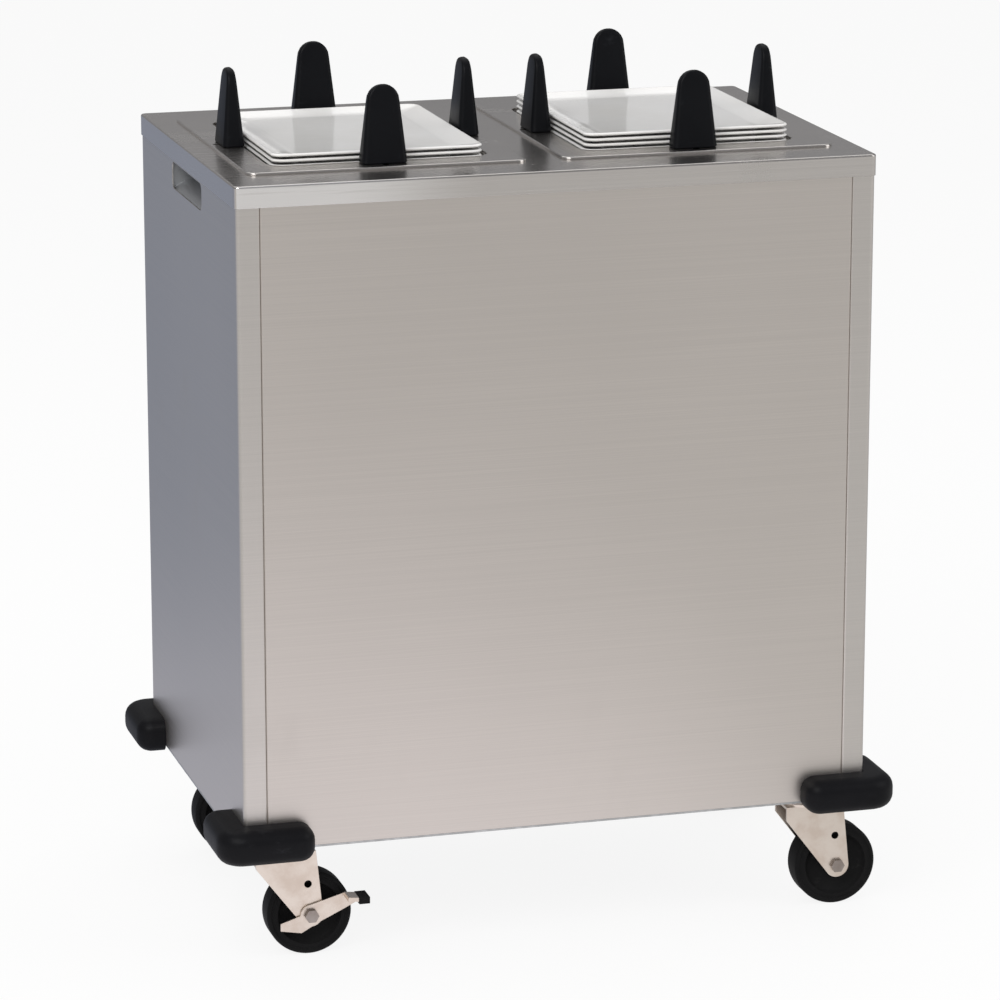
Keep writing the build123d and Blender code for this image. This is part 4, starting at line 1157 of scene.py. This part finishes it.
@dataclass
class Casters:
    """Pressed forks, axles and brake levers in bright zinc, with a rubber grip on each pedal."""

    grip_length: float = 0.013
    grip_wall: float = 0.0016
    grip_round: float = 0.0012
    grip_border: float = 0.0015
    grip_sink: float = 0.0006

    def build_grip(self, corner: Corner) -> Object:
        """Models the grip over the end of one brake pedal.

        Args:
            corner: The caster's corner.

        Returns:
            The grip.
        """
        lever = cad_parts[f"brake_lever_{corner.suffix}"]
        low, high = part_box(lever.name)
        start = high.x - self.grip_length
        tread = [point.co for point in lever.data.vertices if point.co.x > start]
        bottom, top = (pick(point.z for point in tread) for pick in (min, max))
        near, far = (pick(point.y for point in tread) for pick in (min, max))
        wrap = 2 * self.grip_wall
        size = (self.grip_length, far - near + wrap, top - bottom + wrap)
        middle_x = high.x - self.grip_length / 2 + self.grip_wall
        centre = (middle_x, (near + far) / 2, (bottom + top) / 2)
        grip = block(size, centre)
        pick(grip, "FACE", lambda middle, normal: normal.z > FACING)
        inset(self.grip_border)
        inset(self.grip_sink, -self.grip_sink)
        soften(grip, self.grip_round, 3)
        return tidy(grip)

    def dress(self) -> None:
        """Finishes the forks, axles and levers and puts a grip on each pedal."""
        for corner in Corner:
            dress_node(f"fork_{corner.suffix}", CASTER_ZINC)
            dress_node(f"axle_{corner.suffix}", BOLT_ZINC)
        for corner in (Corner.FRONT_LEFT, Corner.REAR_LEFT):
            body = f"brake_lever_{corner.suffix}"
            dress_node(body, CASTER_ZINC)
            grip = self.build_grip(corner)
            name = f"pedal_grip_{corner.suffix}"
            finish_piece(grip, name, TYRE_RUBBER, body)


@dataclass
class ControlMarks:
    """Figures and OFF round each dial, ON and OFF at each switch and a line on each knob."""

    ink: float = 0.00016
    figure_height: float = 0.0058
    word_height: float = 0.005
    dial_radius: float = 0.0272
    first_angle: float = 60.0
    last_angle: float = 300.0
    figures: int = 6
    word_gap: float = 0.0048
    line_width: float = 0.0016
    line_length: float = 0.0125
    line_proud: float = 0.0002
    font_scale: float = 1.38
    curve_steps: int = 3
    crisp: float = 30.0

    def __post_init__(self) -> None:
        """Takes the place of the control plate's face from the frame."""
        self.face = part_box("control_plate")[1].x

    def word(self, text: str, height: float, y: float, z: float) -> Object:
        """Sets one word or figure flat on the control plate, which looks to +X.

        Args:
            text: What it says.
            height: Height of a capital.
            y: Place of its middle along Y.
            z: Place of its middle along Z.

        Returns:
            The lettering as a mesh.
        """
        idle()
        bpy.ops.object.text_add(location=(0.0, 0.0, 0.0))
        letters = bpy.context.object
        letters.data.body = text
        letters.data.align_x = "CENTER"
        letters.data.align_y = "CENTER"
        letters.data.size = height * self.font_scale
        letters.data.extrude = self.ink / 2
        letters.data.resolution_u = self.curve_steps
        take(letters)
        bpy.ops.object.convert(target="MESH")
        letters = bpy.context.object
        x = self.face + self.ink / 2
        letters.matrix_world = Matrix(
            ((0.0, 0.0, 1.0, x), (1.0, 0.0, 0.0, y), (0.0, 1.0, 0.0, z), (0.0, 0.0, 0.0, 1.0))
        )
        return settle(letters)

    def dress(self) -> None:
        """Prints the control plate and marks the knobs."""
        marks = []
        sweep = self.last_angle - self.first_angle
        for well in Well:
            knob = f"thermostat_knob_{well.suffix}"
            low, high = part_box(knob)
            centre = (low + high) / 2
            for index in range(self.figures):
                share = index / (self.figures - 1)
                angle = math.radians(self.first_angle + share * sweep)
                y = centre.y - self.dial_radius * math.sin(angle)
                z = centre.z - self.dial_radius * math.cos(angle)
                marks.append(self.word(str(index + 1), self.figure_height, y, z))
            z = centre.z - self.dial_radius
            marks.append(self.word("OFF", self.word_height, centre.y, z))
            z = centre.z - self.line_length / 2 - self.line_width
            size = (self.line_proud * 2, self.line_width, self.line_length)
            line = block(size, (high.x, centre.y, z))
            soften(line, self.line_proud / 2)
            name = f"pointer_line_{well.suffix}"
            finish_piece(tidy(line), name, WHITE_INK, knob)
            low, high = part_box(f"switch_rocker_{well.suffix}")
            centre = (low + high) / 2
            reach = (high.z - low.z) / 2 + self.word_gap + self.word_height
            for text, z in (("ON", centre.z + reach), ("OFF", centre.z - reach)):
                marks.append(self.word(text, self.word_height, centre.y, z))
        print_work = tidy(join(marks), self.crisp)
        finish_piece(print_work, "dial_print", BLACK_INK, "cabinet")


@dataclass(frozen=True)
class Lamp:
    """A square soft lamp, with its place, the point it looks at, its size and its power."""

    name: str
    at: Place
    aim: Place
    size: float
    power: float

    def hang(self) -> None:
        """Hangs the lamp."""
        data = bpy.data.lights.new(self.name, "AREA")
        data.shape = "SQUARE"
        data.size = self.size
        data.energy = self.power
        lamp = bpy.data.objects.new(self.name, data)
        lamp.location = self.at
        lamp.rotation_mode = "QUATERNION"
        lamp.rotation_quaternion = (Vector(self.aim) - Vector(self.at)).to_track_quat("-Z", "Y")
        bpy.context.collection.objects.link(lamp)


@dataclass
class Studio:
    """Pale floor, soft lamps, plain world and the camera at the photograph's angle."""

    camera_at: Place = (-1.503, -5.252, 1.873)
    camera_turn: Place = (75.679, 0.0, -15.975)
    lens: float = 167.9
    film_width: float = 36.0
    clip: tuple[float, float] = (0.1, 200.0)
    lamps: tuple[Lamp, ...] = (
        Lamp("key", (-2.4, -3.0, 3.6), (0.0, 0.0, 0.5), 2.6, 95.0),
        Lamp("fill", (3.4, -2.2, 2.4), (0.0, 0.0, 0.5), 2.6, 38.0),
        Lamp("top", (0.2, 1.6, 3.8), (0.0, 0.0, 0.8), 3.8, 38.0),
    )
    floor_size: float = 80.0
    floor_drop: float = 0.0004
    floor_tone: Rgb = (0.9, 0.9, 0.895)
    camera_white: float = 0.88
    mirror_share: float = 0.95
    # Painted light on the floor, seen in the metal's reflections: a bright pool in front of the
    # cabinet, dim bluish shade behind its left end.
    pool_x: float = -0.32
    pool_y: float = -0.8
    pool_reach: float = 3.2
    pool_narrow: float = 3.2
    front_painted_light: Rgb = (0.625, 0.62, 0.61)
    front_painted_pool: Rgb = (1.0, 0.968, 0.998)
    back_painted_shade: Rgb = (0.276, 0.305, 0.378)
    back_painted_pool: Rgb = (0.485, 0.497, 0.57)
    open_painted_light: Rgb = (0.5, 0.5, 0.505)
    back_near: float = 0.35
    back_far: float = 1.9
    front_end: float = -0.45
    back_start: float = 0.35
    open_half: float = 0.35
    world_light: Rgb = (0.62, 0.62, 0.62)
    world_gloss: Rgb = (0.255, 0.255, 0.262)
    white: Rgb = (1.0, 1.0, 1.0)

    def camera(self) -> None:
        """Sets the camera."""
        data = bpy.data.cameras.new("photo_camera")
        data.sensor_width = self.film_width
        data.lens = self.lens
        data.clip_start, data.clip_end = self.clip
        camera = bpy.data.objects.new("photo_camera", data)
        camera.location = self.camera_at
        camera.rotation_euler = tuple(math.radians(angle) for angle in self.camera_turn)
        bpy.context.collection.objects.link(camera)
        bpy.context.scene.camera = camera

    def world(self) -> None:
        """Sets a plain world: white to the camera, a soft grey room to the metal."""
        world = bpy.data.worlds.new("studio")
        world.use_nodes = True
        bpy.context.scene.world = world
        graph = Graph(world.node_tree)
        path = graph.node("ShaderNodeLightPath", {}, {})
        light, gloss, white = (
            graph.node("ShaderNodeBackground", {}, {"Color": (*colour, 1.0)}).outputs[0]
            for colour in (self.world_light, self.world_gloss, self.white)
        )
        lit = graph.blend(path.outputs["Is Glossy Ray"], light, gloss)
        seen = graph.blend(path.outputs["Is Camera Ray"], lit, white)
        graph.node("ShaderNodeOutputWorld", {}, {"Surface": seen})

    def mirrored_floor(self, recipe: Recipe) -> NodeSocket:
        """Paints light and shade on the floor for the sheet to mirror: a painted pool of light in
        front, painted dim bluish shade behind the left end.

        Args:
            recipe: The floor's recipe.

        Returns:
            The floor's colour to a mirrored ray.
        """
        x, y = recipe.axis("X"), recipe.axis("Y")
        off_x, off_y = x - self.pool_x, y - self.pool_y
        squared = (off_x * off_x * self.pool_narrow) + (off_y * off_y)
        near = squared.above(self.pool_reach, 0.0)
        front = recipe.mix(near, self.front_painted_light, self.front_painted_pool)
        shade = y.above(self.back_far, self.back_near)
        corner = recipe.mix(shade, self.back_painted_shade, self.back_painted_pool)
        back = recipe.mix(x.above(-self.open_half, self.open_half), corner, self.open_painted_light)
        return recipe.mix(y.above(self.front_end, self.back_start), front, back)

    def floor(self) -> None:
        """Lays the pale floor, white to the camera but for the object's shadow; mirrored rays see the
        painted light and shade.
        """
        piece = panel((self.floor_size, self.floor_size), (0.0, 0.0, -self.floor_drop))
        piece.name = "studio_floor"
        recipe = Recipe("studio_floor")
        recipe.set(Base_Color=(*self.floor_tone, 1.0), Roughness=0.9, Specular_IOR_Level=0.1)
        path = recipe.node("ShaderNodeLightPath", {}, {})
        kinds = ("Camera", "Glossy", "Transmission")
        seen, mirrored, passed = (
            Signal(recipe, path.outputs[f"Is {kind} Ray"]) for kind in kinds
        )
        white, sheen = (
            recipe.node("ShaderNodeEmission", {}, {"Color": colour}).outputs[0]
            for colour in ((*self.white, 1.0), self.mirrored_floor(recipe))
        )
        share = (seen * self.camera_white) + (passed * self.camera_white)
        plain = recipe.blend(share, recipe.shader.outputs[0], white)
        surface = recipe.blend(mirrored * self.mirror_share, plain, sheen)
        recipe.feed(recipe.output.inputs["Surface"], surface)
        piece.data.materials.append(recipe.material)

    def build(self) -> None:
        """Sets up the whole studio."""
        bpy.context.scene.view_settings.view_transform = "Standard"
        self.camera()
        for lamp in self.lamps:
            lamp.hang()
        self.world()
        self.floor()


def main() -> None:
    """Builds every sub-assembly in order and sets the studio round it."""
    logging.basicConfig(level=logging.INFO, format="%(name)s %(message)s")
    Sheetwork().dress()
    for kind in (GuidePosts, PlateStacks, Bumpers, Wheels):
        kind().make()
    Casters().dress()
    ControlMarks().dress()
    Studio().build()


if __name__ == "__main__":
    main()
